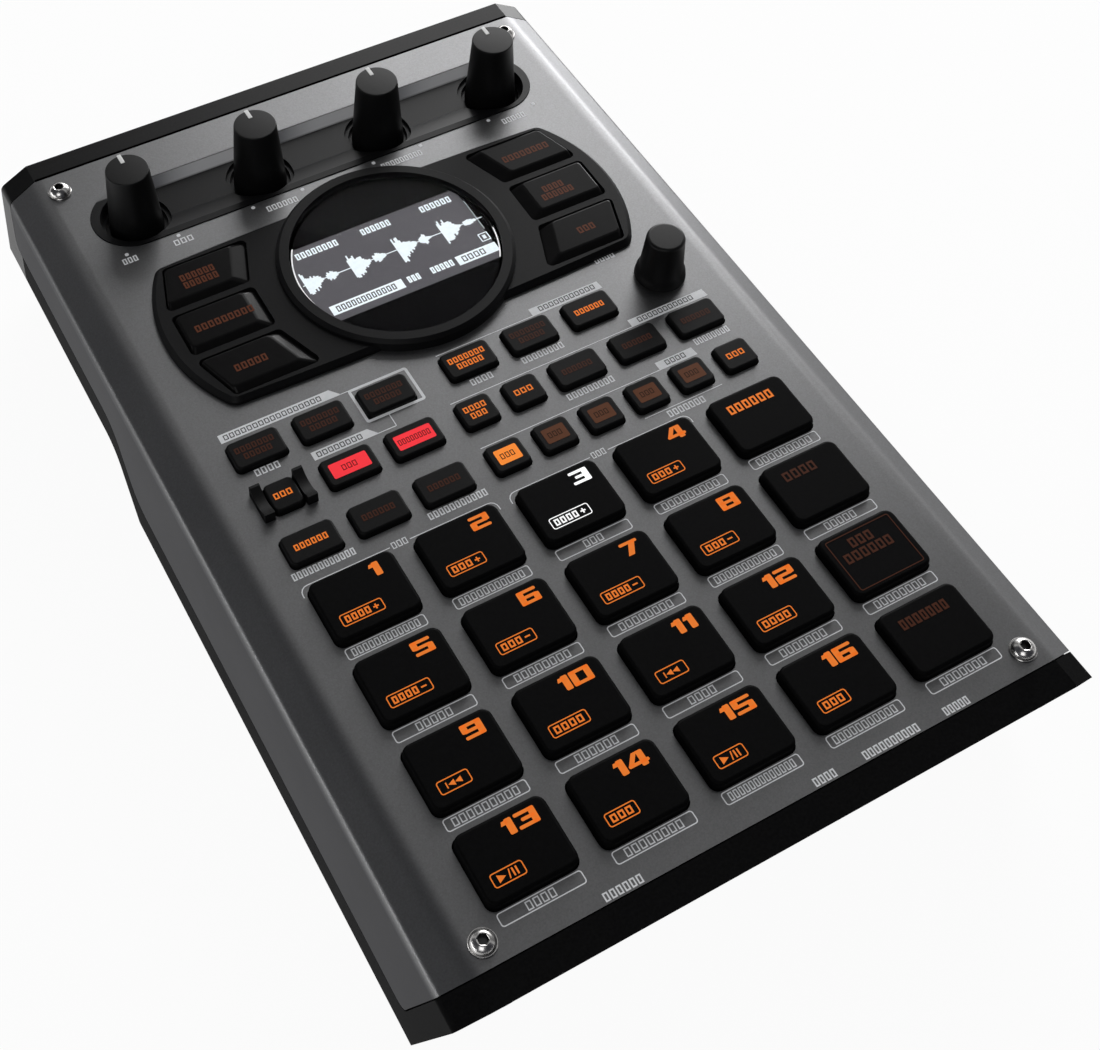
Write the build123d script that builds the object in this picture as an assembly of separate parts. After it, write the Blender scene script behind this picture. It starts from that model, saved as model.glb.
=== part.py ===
import os
from math import atan2, tan

from build123d import *

# A table top audio sampler with pads, keys, knobs and a round display.
# Millimetres. X runs to the right, Y to the rear, Z up.
# The origin is the centre of the base of the whole object's box.

# Overall sizes
overall_width = 177.6
overall_depth = 275.8
overall_height = 70.5
knob_rise = 18.5
foot_height = 3.0
panel_z = overall_height - knob_rise
base_z = foot_height
overrun = 5.0

# Outer form of the case: flat top, long chamfers, slightly flared sides, slanted ends
flat_half = 77.7
ridge_half = 86.0
ridge_drop = 5.0
ridge_radius = 2.8
front_slant_share = 0.3
rear_slant_share = 0.085
case_wall = 2.2
seam_gap = 0.3
lip_width = 4.0
base_half = 78.0
front_y = -overall_depth / 2
rear_foot_y = overall_depth / 2
rear_y = rear_foot_y - rear_slant_share * (panel_z - base_z)

# Metal cover
cover_sheet = 1.2
front_bezel_depth = 8.0
rear_bezel_depth = 7.2
seam_drop_front = 39.1
seam_drop_rear = 22.5
strip_height = 9.9
seam_step_rear_y = 53.0
seam_step_front_y = 38.0
seam_step_radius = 14.0
cover_corner_radius = 4.0
cover_front_y = front_y + front_bezel_depth
cover_rear_y = rear_y - rear_bezel_depth
seam_front_z = panel_z - seam_drop_front
seam_rear_z = panel_z - seam_drop_rear
strip_rear_z = seam_rear_z - strip_height
front_split_y = cover_front_y + front_slant_share * (panel_z - base_z) + cover_corner_radius
rear_split_y = cover_rear_y - cover_corner_radius

# Fits
sliding_gap = 0.3
running_gap = 0.1

# Cover screws
screw_x = 72.7
screw_front_inset = 5.4
screw_rear_inset = 7.1
screw_front_y = cover_front_y + screw_front_inset
screw_rear_y = cover_rear_y - screw_rear_inset
screw_boss_wall = 1.6
screw_head_radius = 3.0
screw_head_height = 1.9
screw_shank_radius = 1.5
screw_length = 9.0
screw_hex_radius = 1.15
screw_hex_depth = 1.1
washer_radius = 3.3
washer_thickness = 0.5

# Pads
pad_columns = 5
pad_rows = 4
pad_pitch_x = 28.49
pad_pitch_y = 23.69
pad_first_y = -39.95
pad_width = 22.6
pad_depth = 17.8
pad_rise = 2.8
pad_radius = 2.4
pad_bevel = 0.9
pad_travel = 1.0
flange_thickness = 1.0
pad_flange_margin = 1.2

# Small keys
key_depth = 8.9
wide_key_width = 14.1
square_key_width = 9.9
guarded_key_width = 8.2
key_rise = 1.8
key_radius = 1.6
key_bevel = 0.7
key_first_y = 11.35
key_row_pitch = 15.75
left_key_x = -61.3
left_key_pitch = 18.3
right_key_x = -0.25
wide_key_pitch = 18.65
square_key_x = -6.5
square_key_pitch = 13.9
last_wide_key_x = 60.9
key_flange_margin = 1.1
guard_width = 2.7
guard_depth = 9.6
guard_rise = 3.2
guard_scoop_radius = 6.0
guard_gap = 0.35

# Inner frame that carries pads and keys, and the board below it
frame_thickness = 2.0
frame_rim = 1.0
frame_half_width = (pad_columns - 1) * pad_pitch_x / 2 + pad_width / 2 + pad_flange_margin + frame_rim
frame_rear_y = key_first_y + key_depth
board_thickness = 1.6
board_gap = 0.2
boss_radius = 2.2
frame_top_z = panel_z - cover_sheet
frame_bottom_z = frame_top_z - frame_thickness
pad_board_top_z = frame_bottom_z - flange_thickness - pad_travel - board_gap

# Display plate with its round raised ring
plate_y = 52.8
plate_half_length = 68.6
plate_corner_x = 60.4
plate_corner_half_depth = 26.0
plate_half_depth = 27.3
plate_corner_radius = 4.0
plate_rise = 2.2
plate_bevel = 1.2
plate_overlap = 1.0
ring_radius = 33.0
ring_bore_radius = 29.4
ring_rise = 4.0
ring_bevel = 1.0
lens_ledge = 0.6
lens_thickness = 1.6
lens_sink = 0.6
oled_height = 29.0
oled_sink = 0.1
display_board_half_width = 63.0
display_board_half_depth = 24.0

# Effect keys, three at each side of the ring
effect_row_pitch = 16.8
effect_key_depth = 14.2
effect_inner_x = 40.0
effect_inner_end_x = 34.7
effect_outer_x = 63.5
effect_outer_end_x = 58.9
effect_key_rise = 2.9
effect_key_bevel = 1.0
effect_key_radius = 1.2
effect_travel = 0.8
effect_well_gap = 0.35
effect_flange_thickness = 0.8
effect_flange_margin = 0.5

# Knob trough and its four knobs
trough_y = 101.6
trough_half_length = 69.6
trough_radius = 11.65
trough_rim = 2.0
trough_proud = 0.3
trough_floor_drop = 2.5
trough_rear_slope = 2.1
trough_front_slope = 7.0
trough_flange = 2.5
well_radius = 9.9
well_step_radius = 8.75
well_step_drop = 3.6
well_drop = 5.0
well_floor = 1.5
knob_count = 4
knob_pitch = 38.2
knob_y = 101.0
knob_top_radius = 5.85
knob_foot_radius = 7.7
knob_foot_drop = 4.2
knob_edge = 0.5
knob_hollow_radius = 5.2
knob_hollow_depth = 3.0
pointer_width = 1.1
pointer_length = 3.4
pointer_depth = 0.5
shaft_radius = 3.0
bushing_radius = 4.2
pot_width = 11.0
pot_depth = 13.0
pot_height = 6.0
pot_board_margin = 3.0

# Push encoder
encoder_x = 61.1
encoder_y = 13.5
encoder_rise = 15.8
encoder_top_radius = 5.05
encoder_neck_radius = 6.05
encoder_neck_rise = 4.0
encoder_collar_top_radius = 6.7
encoder_collar_radius = 7.1
encoder_collar_rise = 3.2
encoder_foot_rise = 0.8
encoder_travel = 0.5
encoder_body_width = 12.4
encoder_body_height = 6.5
encoder_bushing_radius = 3.5
encoder_shaft_radius = 2.4
encoder_bore_depth = 10.0

# Front controls and sockets
jack_z = 29.0
jack_bore_radius = 3.25
jack_bushing_radius = 4.9
jack_body_width = 16.0
jack_body_height = 12.5
jack_body_depth = 24.0
jack_bore_depth = 22.0
mini_bore_radius = 1.8
mini_bushing_radius = 2.9
mini_body_width = 7.0
mini_body_height = 6.5
mini_body_depth = 14.0
mini_bore_depth = 12.5
phones_x = -46.5
phones_mini_x = -31.5
input_x = 49.8
gain_x = 12.6
gain_radius = 4.6
gain_length = 5.5
gain_well_radius = 5.6
gain_shaft_radius = 2.0
switch_slot_width = 9.0
switch_slot_height = 4.0
switch_travel = 3.0
switch_lever_width = 5.0
switch_lever_height = 3.2
switch_lever_length = 3.0
input_switch_x = 31.1
face_recess = 1.2
front_board_depth = 32.0
front_board_half_width = 66.0

# Rear sockets
rear_jack_z = 31.0
rear_jack_pitch = 19.5
rear_jack_count = 4
rear_jack_first_x = 5.5
rear_mini_first_x = -25.0
rear_mini_pitch = 11.0
usb_x = -38.5
usb_width = 8.9
usb_height = 3.2
usb_shell = 0.5
usb_depth = 8.0
power_inlet_x = -51.5
power_inlet_bore_radius = 2.9
power_inlet_pin_radius = 1.0
power_inlet_width = 9.0
power_inlet_height = 11.0
power_inlet_depth = 13.0
power_inlet_bore_depth = 10.0
power_switch_x = -67.0

# Main board
main_board_width = 150.0
main_board_depth = 158.0
chip_height = 1.6
chip_size = 14.0
post_radius = 3.5
post_inset = 6.0
main_board_top_z = rear_jack_z - jack_body_height / 2
main_board_bottom_z = main_board_top_z - board_thickness

# Battery bay in the base, with its door
bay_width = 93.0
bay_depth = 57.0
bay_height = 16.0
bay_wall = 1.6
bay_y = 22.0
door_thickness = 2.2
door_gap = 0.4
door_pin_radius = 0.7
door_pin_length = 2.0
door_pin_gap = 0.12
door_grip_width = 16.0
door_grip_depth = 5.0
contact_thickness = 0.4
contact_width = 9.0
contact_height = 10.0
contact_count = 6
contact_nub_radius = 2.2
contact_nub_length = 2.4

# Feet and base screws
foot_radius = 6.5
foot_x = 67.0
foot_front_y = -104.0
foot_rear_y = 118.0
foot_edge = 0.6
foot_recess = 0.8
case_screw_radius = 2.6
case_screw_height = 1.6
case_screw_sink = 2.0
case_screw_boss_radius = 4.2
case_screw_boss_height = 6.0
case_screw_x = 50.0
case_screw_front_y = -100.0
case_screw_middle_y = -36.0
case_screw_rear_y = 122.0
case_screw_cross_width = 0.8
case_screw_cross_length = 3.4


def prism_along_x(points, radii, x_low, x_high):
    """A prism along X from a closed outline of (y, z) points with corner radii."""
    outline = FilletPolyline(*[(x_low, y, z) for y, z in points], radius=radii, close=True)
    return extrude(make_face(outline), amount=x_high - x_low, dir=(1, 0, 0))


def box_between(x_low, x_high, y_low, y_high, z_low, z_high):
    """A plain block given by its six faces."""
    block = Box(x_high - x_low, y_high - y_low, z_high - z_low, align=(Align.MIN, Align.MIN, Align.MIN))
    return Pos(x_low, y_low, z_low) * block


def rounded_block(width, depth, z_low, z_high, radius, bevel):
    """A block with rounded upright corners and a bevel round its top."""
    block = extrude(Pos(0, 0, z_low) * RectangleRounded(width, depth, radius), amount=z_high - z_low)
    if bevel > 0:
        block = chamfer(block.faces().sort_by(Axis.Z)[-1].edges(), bevel)
    return block


def upright_cylinder(radius, z_low, z_high):
    """A cylinder standing between two heights."""
    bottom_up = (Align.CENTER, Align.CENTER, Align.MIN)
    return Pos(0, 0, z_low) * Cylinder(radius, z_high - z_low, align=bottom_up)


def upright_cone(low_radius, high_radius, z_low, z_high):
    """A truncated cone standing between two heights."""
    bottom_up = (Align.CENTER, Align.CENTER, Align.MIN)
    return Pos(0, 0, z_low) * Cone(low_radius, high_radius, z_high - z_low, align=bottom_up)


def cylinder_along_y(radius, x, y_low, y_high, z):
    """A cylinder lying along Y."""
    lying = Rot(-90, 0, 0) * Cylinder(radius, y_high - y_low, align=(Align.CENTER, Align.CENTER, Align.MIN))
    return Pos(x, y_low, z) * lying


def front_wall_y(z):
    """Where the outer front face lies at a height."""
    return front_y + front_slant_share * (panel_z - z)


def rear_wall_y(z):
    """Where the outer rear face lies at a height."""
    return rear_y + rear_slant_share * (panel_z - z)


def side_half(z):
    """Half of the outer width at a height below the ridge."""
    flare = (overall_width / 2 - ridge_half) / (panel_z - ridge_drop - base_z)
    return ridge_half + flare * (panel_z - ridge_drop - z)


def outer_form(inset):
    """The case's outer form as one solid, drawn in by an inset on every face."""
    ridge_z = panel_z - ridge_drop
    section = [
        (-flat_half, panel_z),
        (flat_half, panel_z),
        (ridge_half, ridge_z),
        (side_half(base_z), base_z),
        (-side_half(base_z), base_z),
        (-ridge_half, ridge_z),
    ]
    tapered = [
        (-flat_half, panel_z),
        (flat_half, panel_z),
        (ridge_half, ridge_z),
        (side_half(strip_rear_z), strip_rear_z),
        (base_half, base_z),
        (-base_half, base_z),
        (-side_half(strip_rear_z), strip_rear_z),
        (-ridge_half, ridge_z),
    ]
    profile = [
        (front_wall_y(panel_z), panel_z),
        (rear_wall_y(panel_z), panel_z),
        (rear_wall_y(base_z), base_z),
        (front_wall_y(base_z), base_z),
    ]
    y_low = front_y - overrun
    length = overall_depth + 2 * overrun
    sections = []
    for points in (section, tapered):
        face = make_face(Polyline(*[(x, y_low, z) for x, z in points], close=True)).face()
        if inset > 0:
            face = offset(face, amount=-inset, kind=Kind.INTERSECTION).face()
        if inset < ridge_radius:
            ridges = face.vertices().sort_by(Axis.Z)[-4:-2]
            face = face.fillet_2d(ridge_radius - inset, ridges)
        sections.append(extrude(face, amount=length, dir=(0, 1, 0)))
    side = make_face(Polyline(*[(-overall_width, y, z) for y, z in profile], close=True))
    if inset > 0:
        side = offset(side, amount=-inset, kind=Kind.INTERSECTION)
    lengthwise = extrude(side, amount=2 * overall_width, dir=(1, 0, 0))
    full_sided = sections[0] & strip_region(inset)
    return (full_sided + sections[1]) & lengthwise


def strip_region(inset):
    """The space above the lower edge of the side strips, over the whole length."""
    low_front = base_z - overrun
    low_rear = strip_rear_z + inset
    points = [
        (front_y - overrun, low_front),
        (seam_step_front_y - inset, low_front),
        (seam_step_front_y - inset, base_z),
        (seam_step_rear_y - inset, low_rear),
        (rear_foot_y + overrun, low_rear),
        (rear_foot_y + overrun, panel_z + overrun),
        (front_y - overrun, panel_z + overrun),
    ]
    radii = [0, 0, 0, seam_step_radius, 0, 0, 0]
    return prism_along_x(points, radii, -overall_width, overall_width)


def cover_region(grow):
    """The space that the metal cover takes in side view, grown by a gap on its edges."""
    top = panel_z + overrun
    front_top = cover_front_y - front_slant_share * overrun - grow
    front_low = cover_front_y + front_slant_share * seam_drop_front - grow
    step_angle = atan2(seam_rear_z - seam_front_z, seam_step_rear_y - seam_step_front_y)
    step_shift = grow * tan(step_angle / 2)
    points = [
        (front_top, top),
        (front_low, seam_front_z - grow),
        (seam_step_front_y + step_shift, seam_front_z - grow),
        (seam_step_rear_y + step_shift, seam_rear_z - grow),
        (cover_rear_y + grow, seam_rear_z - grow),
        (cover_rear_y + grow, top),
    ]
    corner = cover_corner_radius + grow
    radii = [0, corner, seam_step_radius, seam_step_radius, corner, 0]
    return prism_along_x(points, radii, -overall_width, overall_width)


def pad_places():
    """Centres of the pads, row by row from the rear, left to right."""
    places = []
    for row in range(pad_rows):
        for column in range(pad_columns):
            x = (column - (pad_columns - 1) / 2) * pad_pitch_x
            places.append((x, pad_first_y - row * pad_pitch_y))
    return places


def key_rows():
    """Each row of small keys: its name, its Y and a list of (x, width)."""
    wide = wide_key_width
    square = square_key_width
    left = [(left_key_x + column * left_key_pitch, wide) for column in range(3)]
    left_middle = [(left_key_x, guarded_key_width)] + left[1:]
    right_rear = [(right_key_x + column * wide_key_pitch, wide) for column in range(3)]
    right_middle = [(square_key_x + column * square_key_pitch, square) for column in range(2)]
    right_middle += [(last_wide_key_x - column * wide_key_pitch, wide) for column in (2, 1, 0)]
    right_front = [(square_key_x + column * square_key_pitch, square) for column in range(6)]
    rear_y_row = key_first_y
    middle_y_row = key_first_y - key_row_pitch
    front_y_row = key_first_y - 2 * key_row_pitch
    return [
        ("keys_left_rear", rear_y_row, left),
        ("keys_left_middle", middle_y_row, left_middle),
        ("keys_left_front", front_y_row, left),
        ("keys_right_rear", rear_y_row, right_rear),
        ("keys_right_middle", middle_y_row, right_middle),
        ("keys_right_front", front_y_row, right_front),
    ]


def knob_places():
    """X of each of the four knobs."""
    return [(index - (knob_count - 1) / 2) * knob_pitch for index in range(knob_count)]


def screw_places():
    """The four cover screws."""
    return [(x, y) for x in (-screw_x, screw_x) for y in (screw_front_y, screw_rear_y)]


def guard_places():
    """X of the two ribs that guard the first key of the middle left row."""
    reach = guarded_key_width / 2 + guard_gap + guard_width / 2
    return [left_key_x - reach, left_key_x + reach]


def plate_outline(inset):
    """The display plate's outline: bowed long edges and arc ends, drawn in by an inset."""
    corner_x = plate_corner_x - inset
    corner_y = plate_corner_half_depth - inset
    end_x = plate_half_length - inset
    middle_y = plate_half_depth - inset
    arcs = [
        ThreePointArc((-corner_x, corner_y), (0, middle_y), (corner_x, corner_y)),
        ThreePointArc((corner_x, corner_y), (end_x, 0), (corner_x, -corner_y)),
        ThreePointArc((corner_x, -corner_y), (0, -middle_y), (-corner_x, -corner_y)),
        ThreePointArc((-corner_x, -corner_y), (-end_x, 0), (-corner_x, corner_y)),
    ]
    face = make_face(Curve() + arcs)
    return fillet(face.vertices(), plate_corner_radius)


def effect_outline(row, side, grow):
    """One effect key's outline: row 1 rear, 0 middle, -1 front; side 1 right, -1 left."""
    low = -effect_key_depth / 2
    high = effect_key_depth / 2
    inner_low = effect_inner_x
    inner_high = effect_inner_x
    outer_low = effect_outer_x
    outer_high = effect_outer_x
    if row > 0:
        inner_high = effect_inner_end_x
        outer_high = effect_outer_end_x
    if row < 0:
        inner_low = effect_inner_end_x
        outer_low = effect_outer_end_x
    points = [(inner_low, low), (outer_low, low), (outer_high, high), (inner_high, high)]
    placed = [(side * x, y + row * effect_row_pitch + plate_y) for x, y in points]
    face = make_face(Polyline(*placed, close=True))
    face = fillet(face.vertices(), effect_key_radius)
    if grow > 0:
        face = offset(face, amount=grow)
    return face


def stadium(radius_inset, z_low, z_high):
    """The trough's stadium form between two heights, drawn in by an inset."""
    length = 2 * (trough_half_length - radius_inset)
    height = 2 * (trough_radius - radius_inset)
    face = Pos(0, trough_y, z_low) * SlotOverall(length, height)
    return extrude(face, amount=z_high - z_low)


def button_holes(low, high):
    """Clearance holes for every pad and small key between two heights."""
    gap = 2 * sliding_gap
    pad_hole = rounded_block(pad_width + gap, pad_depth + gap, low, high, pad_radius, 0)
    holes = [Pos(x, y, 0) * pad_hole for x, y in pad_places()]
    for name, row_y, keys in key_rows():
        for x, width in keys:
            hole = rounded_block(width + gap, key_depth + gap, low, high, key_radius, 0)
            holes.append(Pos(x, row_y, 0) * hole)
    return holes


def make_top_panel():
    """Folded sheet cover with openings for everything that comes up through it."""
    shell = (outer_form(0) - outer_form(cover_sheet)) & cover_region(0)
    top = panel_z + overrun
    low = panel_z - ridge_drop
    cuts = button_holes(low, top)
    guard_slot = rounded_block(guard_width + guard_gap, guard_depth + guard_gap, low, top, guard_gap, 0)
    middle_y = key_first_y - key_row_pitch
    cuts += [Pos(x, middle_y, 0) * guard_slot for x in guard_places()]
    cuts.append(extrude(Pos(0, plate_y, low) * plate_outline(plate_overlap), amount=top - low))
    cuts.append(stadium(-sliding_gap / 2, low, top))
    encoder_hole = upright_cylinder(encoder_bushing_radius + sliding_gap, low, top)
    cuts.append(Pos(encoder_x, encoder_y, 0) * encoder_hole)
    screw_hole = upright_cylinder(screw_shank_radius + sliding_gap, low, top)
    cuts += [Pos(x, y, 0) * screw_hole for x, y in screw_places()]
    for cut in cuts:
        shell -= cut
    return shell


def dark_shell():
    """All the black moulding round the cover: bezels, strips and base, with a lip under the cover."""
    walls = (outer_form(0) - outer_form(case_wall)) - cover_region(seam_gap)
    lip_top = cover_sheet + seam_gap
    lip = outer_form(lip_top) - outer_form(lip_top + case_wall)
    lip = (lip & cover_region(seam_gap)) - cover_region(-lip_width)
    return walls + lip


def screw_boss():
    """Post under one of the cover's screws, from the sheet down."""
    top = panel_z - cover_sheet
    low = top - screw_length
    return upright_cylinder(screw_shank_radius + screw_boss_wall, low, top)


def screw_bores():
    """The holes that take the cover's screws."""
    bore = upright_cylinder(screw_shank_radius, base_z, panel_z + overrun)
    return [Pos(x, y, 0) * bore for x, y in screw_places()]


def front_region():
    """The space in front of the split between bezel and base."""
    return box_between(
        -overall_width, overall_width, front_y - overrun, front_split_y, base_z - overrun, panel_z + overrun
    )


def rear_region():
    """The space behind the split between bezel and base."""
    return box_between(
        -overall_width, overall_width, rear_split_y, rear_foot_y + overrun, strip_rear_z, panel_z + overrun
    )


def boss_web(x, boss_y, wall_y):
    """A web from a screw post to the wall that carries it."""
    top = panel_z - cover_sheet - seam_gap
    low = panel_z - screw_length
    half = case_wall / 2
    return box_between(x - half, x + half, min(boss_y, wall_y), max(boss_y, wall_y), low, top)


def switch_slot(x, z, y_low, y_high):
    """The slot in a wall for a slide switch's lever."""
    half = switch_slot_width / 2
    rise = switch_slot_height / 2
    return box_between(x - half, x + half, y_low, y_high, z - rise, z + rise)


def make_front_bezel(shell):
    """Front moulding: bezel, slanted face with its sockets' holes and two screw posts."""
    bezel = shell & front_region()
    inner_y = front_wall_y(panel_z) + case_wall
    for x in (-screw_x, screw_x):
        bezel += Pos(x, screw_front_y, 0) * screw_boss()
        bezel += boss_web(x, screw_front_y, inner_y)
    y_low = front_y - overrun
    y_high = front_wall_y(base_z) + case_wall
    large = jack_bushing_radius + sliding_gap
    small = mini_bushing_radius + sliding_gap
    cuts = [cylinder_along_y(large, x, y_low, y_high, jack_z) for x in (phones_x, input_x)]
    cuts.append(cylinder_along_y(small, phones_mini_x, y_low, y_high, jack_z))
    cuts.append(cylinder_along_y(gain_well_radius, gain_x, y_low, y_high, jack_z))
    cuts.append(switch_slot(input_switch_x, jack_z, y_low, y_high))
    for cut in cuts + screw_bores():
        bezel -= cut
    return bezel


def rear_jack_places():
    """X of the rear sockets for large plugs."""
    return [rear_jack_first_x + index * rear_jack_pitch for index in range(rear_jack_count)]


def rear_mini_places():
    """X of the rear sockets for small plugs."""
    return [rear_mini_first_x + index * rear_mini_pitch for index in range(2)]


def make_rear_bezel(shell):
    """Rear moulding: bezel and the face with the rear sockets' holes."""
    bezel = shell & rear_region()
    inner_y = rear_wall_y(panel_z) - case_wall
    for x in (-screw_x, screw_x):
        bezel += Pos(x, screw_rear_y, 0) * screw_boss()
        bezel += boss_web(x, screw_rear_y, inner_y)
    y_low = rear_wall_y(panel_z) - case_wall - seam_gap
    y_high = rear_foot_y + overrun
    large = jack_bushing_radius + sliding_gap
    small = mini_bushing_radius + sliding_gap
    cuts = [cylinder_along_y(large, x, y_low, y_high, rear_jack_z) for x in rear_jack_places()]
    mini_z = main_board_top_z + mini_body_height / 2
    cuts += [cylinder_along_y(small, x, y_low, y_high, mini_z) for x in rear_mini_places()]
    usb_half = usb_width / 2 + usb_shell + sliding_gap
    usb_low = main_board_top_z - sliding_gap
    usb_high = main_board_top_z + usb_height + 2 * usb_shell + sliding_gap
    cuts.append(box_between(usb_x - usb_half, usb_x + usb_half, y_low, y_high, usb_low, usb_high))
    inlet_z = main_board_top_z + power_inlet_height / 2
    inlet_radius = power_inlet_width / 2 - sliding_gap
    cuts.append(cylinder_along_y(inlet_radius, power_inlet_x, y_low, y_high, inlet_z))
    cuts.append(switch_slot(power_switch_x, rear_jack_z, y_low, y_high))
    for cut in cuts + screw_bores():
        bezel -= cut
    return bezel


def foot_places():
    """The four feet."""
    return [(x, y) for x in (-foot_x, foot_x) for y in (foot_front_y, foot_rear_y)]


def case_screw_places():
    """The base screws, two columns of three."""
    rows = (case_screw_front_y, case_screw_middle_y, case_screw_rear_y)
    return [(x, y) for x in (-case_screw_x, case_screw_x) for y in rows]


def main_board_limits():
    """The main board's low and high corners in plan."""
    y_high = rear_wall_y(rear_jack_z) - case_wall - sliding_gap
    return (-main_board_width / 2, main_board_width / 2, y_high - main_board_depth, y_high)


def make_bottom_case(shell):
    """Base moulding: side strips, tapered flanks, floor, battery bay, posts and screw bosses."""
    case = (shell - front_region()) - rear_region()
    floor_top = base_z + case_wall
    half = bay_width / 2
    y_low = bay_y - bay_depth / 2
    y_high = bay_y + bay_depth / 2
    bay_top = floor_top + bay_height
    wall = bay_wall
    housing = box_between(-half - wall, half + wall, y_low - wall, y_high + wall, base_z, bay_top + wall)
    case += housing
    case -= box_between(-half, half, y_low, y_high, base_z - overrun, bay_top)
    post_top = main_board_bottom_z
    x_low, x_high, board_low, board_high = main_board_limits()
    for x in (x_low + post_inset, x_high - post_inset):
        for y in (board_low + post_inset, board_high - 2 * post_inset):
            case += Pos(x, y, 0) * upright_cylinder(post_radius, base_z, post_top)
    front_post_top = jack_z - jack_body_height / 2 - board_thickness
    for x in (-front_board_half_width + post_inset, front_board_half_width - post_inset):
        post_y = front_board_limits()[1] - post_inset
        case += Pos(x, post_y, 0) * upright_cylinder(post_radius, base_z, front_post_top)
    for x, y in case_screw_places():
        boss = upright_cylinder(case_screw_boss_radius, base_z, base_z + case_screw_boss_height)
        case += Pos(x, y, 0) * boss
    for x, y in case_screw_places():
        sink = upright_cylinder(case_screw_radius + sliding_gap, base_z - overrun, base_z + case_screw_sink)
        case -= Pos(x, y, 0) * sink
    recess = upright_cylinder(foot_radius + running_gap, base_z - overrun, base_z + foot_recess)
    for x, y in foot_places():
        case -= Pos(x, y, 0) * recess
    pin_z = base_z + door_thickness / 2
    pin_y = y_high - door_gap - door_thickness / 2
    pin_reach = half + door_pin_length
    socket = Pos(-pin_reach, pin_y, pin_z) * Rot(0, 90, 0) * Cylinder(
        door_pin_radius + door_pin_gap, 2 * pin_reach, align=(Align.CENTER, Align.CENTER, Align.MIN)
    )
    return case - socket


def make_battery_door():
    """Flat door with two pivot pins at its rear edge and a finger dip at its front edge."""
    half = bay_width / 2 - door_gap
    y_low = bay_y - bay_depth / 2 + door_gap
    y_high = bay_y + bay_depth / 2 - door_gap
    round_radius = door_thickness / 2
    pin_y = y_high - round_radius
    pin_z = base_z + round_radius
    lying = (Align.CENTER, Align.CENTER, Align.MIN)
    slab = box_between(-half, half, y_low, pin_y, base_z, base_z + door_thickness)
    edge = Rot(0, 90, 0) * Cylinder(round_radius, 2 * half, align=lying)
    edge = Pos(-half, pin_y, pin_z) * edge
    pin_reach = bay_width / 2 + door_pin_length - door_pin_gap
    pins = Rot(0, 90, 0) * Cylinder(door_pin_radius, 2 * pin_reach, align=lying)
    pins = Pos(-pin_reach, pin_y, pin_z) * pins
    grip = box_between(
        -door_grip_width / 2, door_grip_width / 2, y_low - overrun, y_low + door_grip_depth,
        base_z - overrun, base_z + door_thickness / 2,
    )
    return slab + edge + pins - grip


def make_battery_contacts():
    """Contact plates with nubs on both end walls of the bay."""
    contacts = []
    pitch = bay_width / contact_count
    z_low = base_z + case_wall + door_gap
    for index in range(contact_count):
        x = (index - (contact_count - 1) / 2) * pitch
        for side in (-1, 1):
            wall_y = bay_y + side * bay_depth / 2
            inner_y = wall_y - side * contact_thickness
            plate = box_between(
                x - contact_width / 2, x + contact_width / 2, min(wall_y, inner_y), max(wall_y, inner_y),
                z_low, z_low + contact_height,
            )
            tip_y = inner_y - side * contact_nub_length
            nub = cylinder_along_y(
                contact_nub_radius, x, min(inner_y, tip_y), max(inner_y, tip_y), z_low + contact_height / 2
            )
            contacts.append(plate + nub)
    return Compound(children=contacts)


def make_case_screws():
    """Pan screws sunk in the base, each with a cross slot."""
    screws = []
    for x, y in case_screw_places():
        top = base_z + case_screw_sink
        head = upright_cylinder(case_screw_radius, top - case_screw_height, top)
        bar = case_screw_cross_length / 2
        half = case_screw_cross_width / 2
        slot_top = top - case_screw_height / 2
        for width, depth in ((bar, half), (half, bar)):
            head -= box_between(-width, width, -depth, depth, base_z - overrun, slot_top)
        screws.append(Pos(x, y, 0) * head)
    return Compound(children=screws)


def make_rubber_feet():
    """Round feet with a softened lower edge, seated in shallow recesses."""
    foot = upright_cylinder(foot_radius, 0, base_z + foot_recess)
    foot = chamfer(foot.faces().sort_by(Axis.Z)[0].edges(), foot_edge)
    return Compound(children=[Pos(x, y, 0) * foot for x, y in foot_places()])


def make_panel_screws():
    """Button head screws with a hexagon socket, each on a small washer."""
    screws = []
    for x, y in screw_places():
        washer = upright_cylinder(washer_radius, panel_z, panel_z + washer_thickness)
        washer -= upright_cylinder(screw_shank_radius, panel_z - overrun, panel_z + overrun)
        seat = panel_z + washer_thickness
        top = seat + screw_head_height
        dome_radius = (screw_head_radius**2 + screw_head_height**2) / (2 * screw_head_height)
        dome = Pos(0, 0, top - dome_radius) * Sphere(dome_radius)
        head = dome & upright_cylinder(screw_head_radius, seat, top + overrun)
        shank_low = panel_z - screw_length
        head += upright_cylinder(screw_shank_radius - running_gap, shank_low, seat)
        socket = Pos(0, 0, top - screw_hex_depth) * RegularPolygon(screw_hex_radius, 6)
        head -= extrude(socket, amount=screw_hex_depth + overrun)
        screws.append(Pos(x, y, 0) * washer)
        screws.append(Pos(x, y, 0) * head)
    return Compound(children=screws)


def make_pad():
    """Rubber pad with a bevelled top and a hidden flange below, at the origin in plan."""
    pad = rounded_block(pad_width, pad_depth, frame_bottom_z, panel_z + pad_rise, pad_radius, pad_bevel)
    width = pad_width + 2 * pad_flange_margin
    depth = pad_depth + 2 * pad_flange_margin
    flange_low = frame_bottom_z - flange_thickness
    return pad + rounded_block(width, depth, flange_low, frame_bottom_z, pad_radius, 0)


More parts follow.
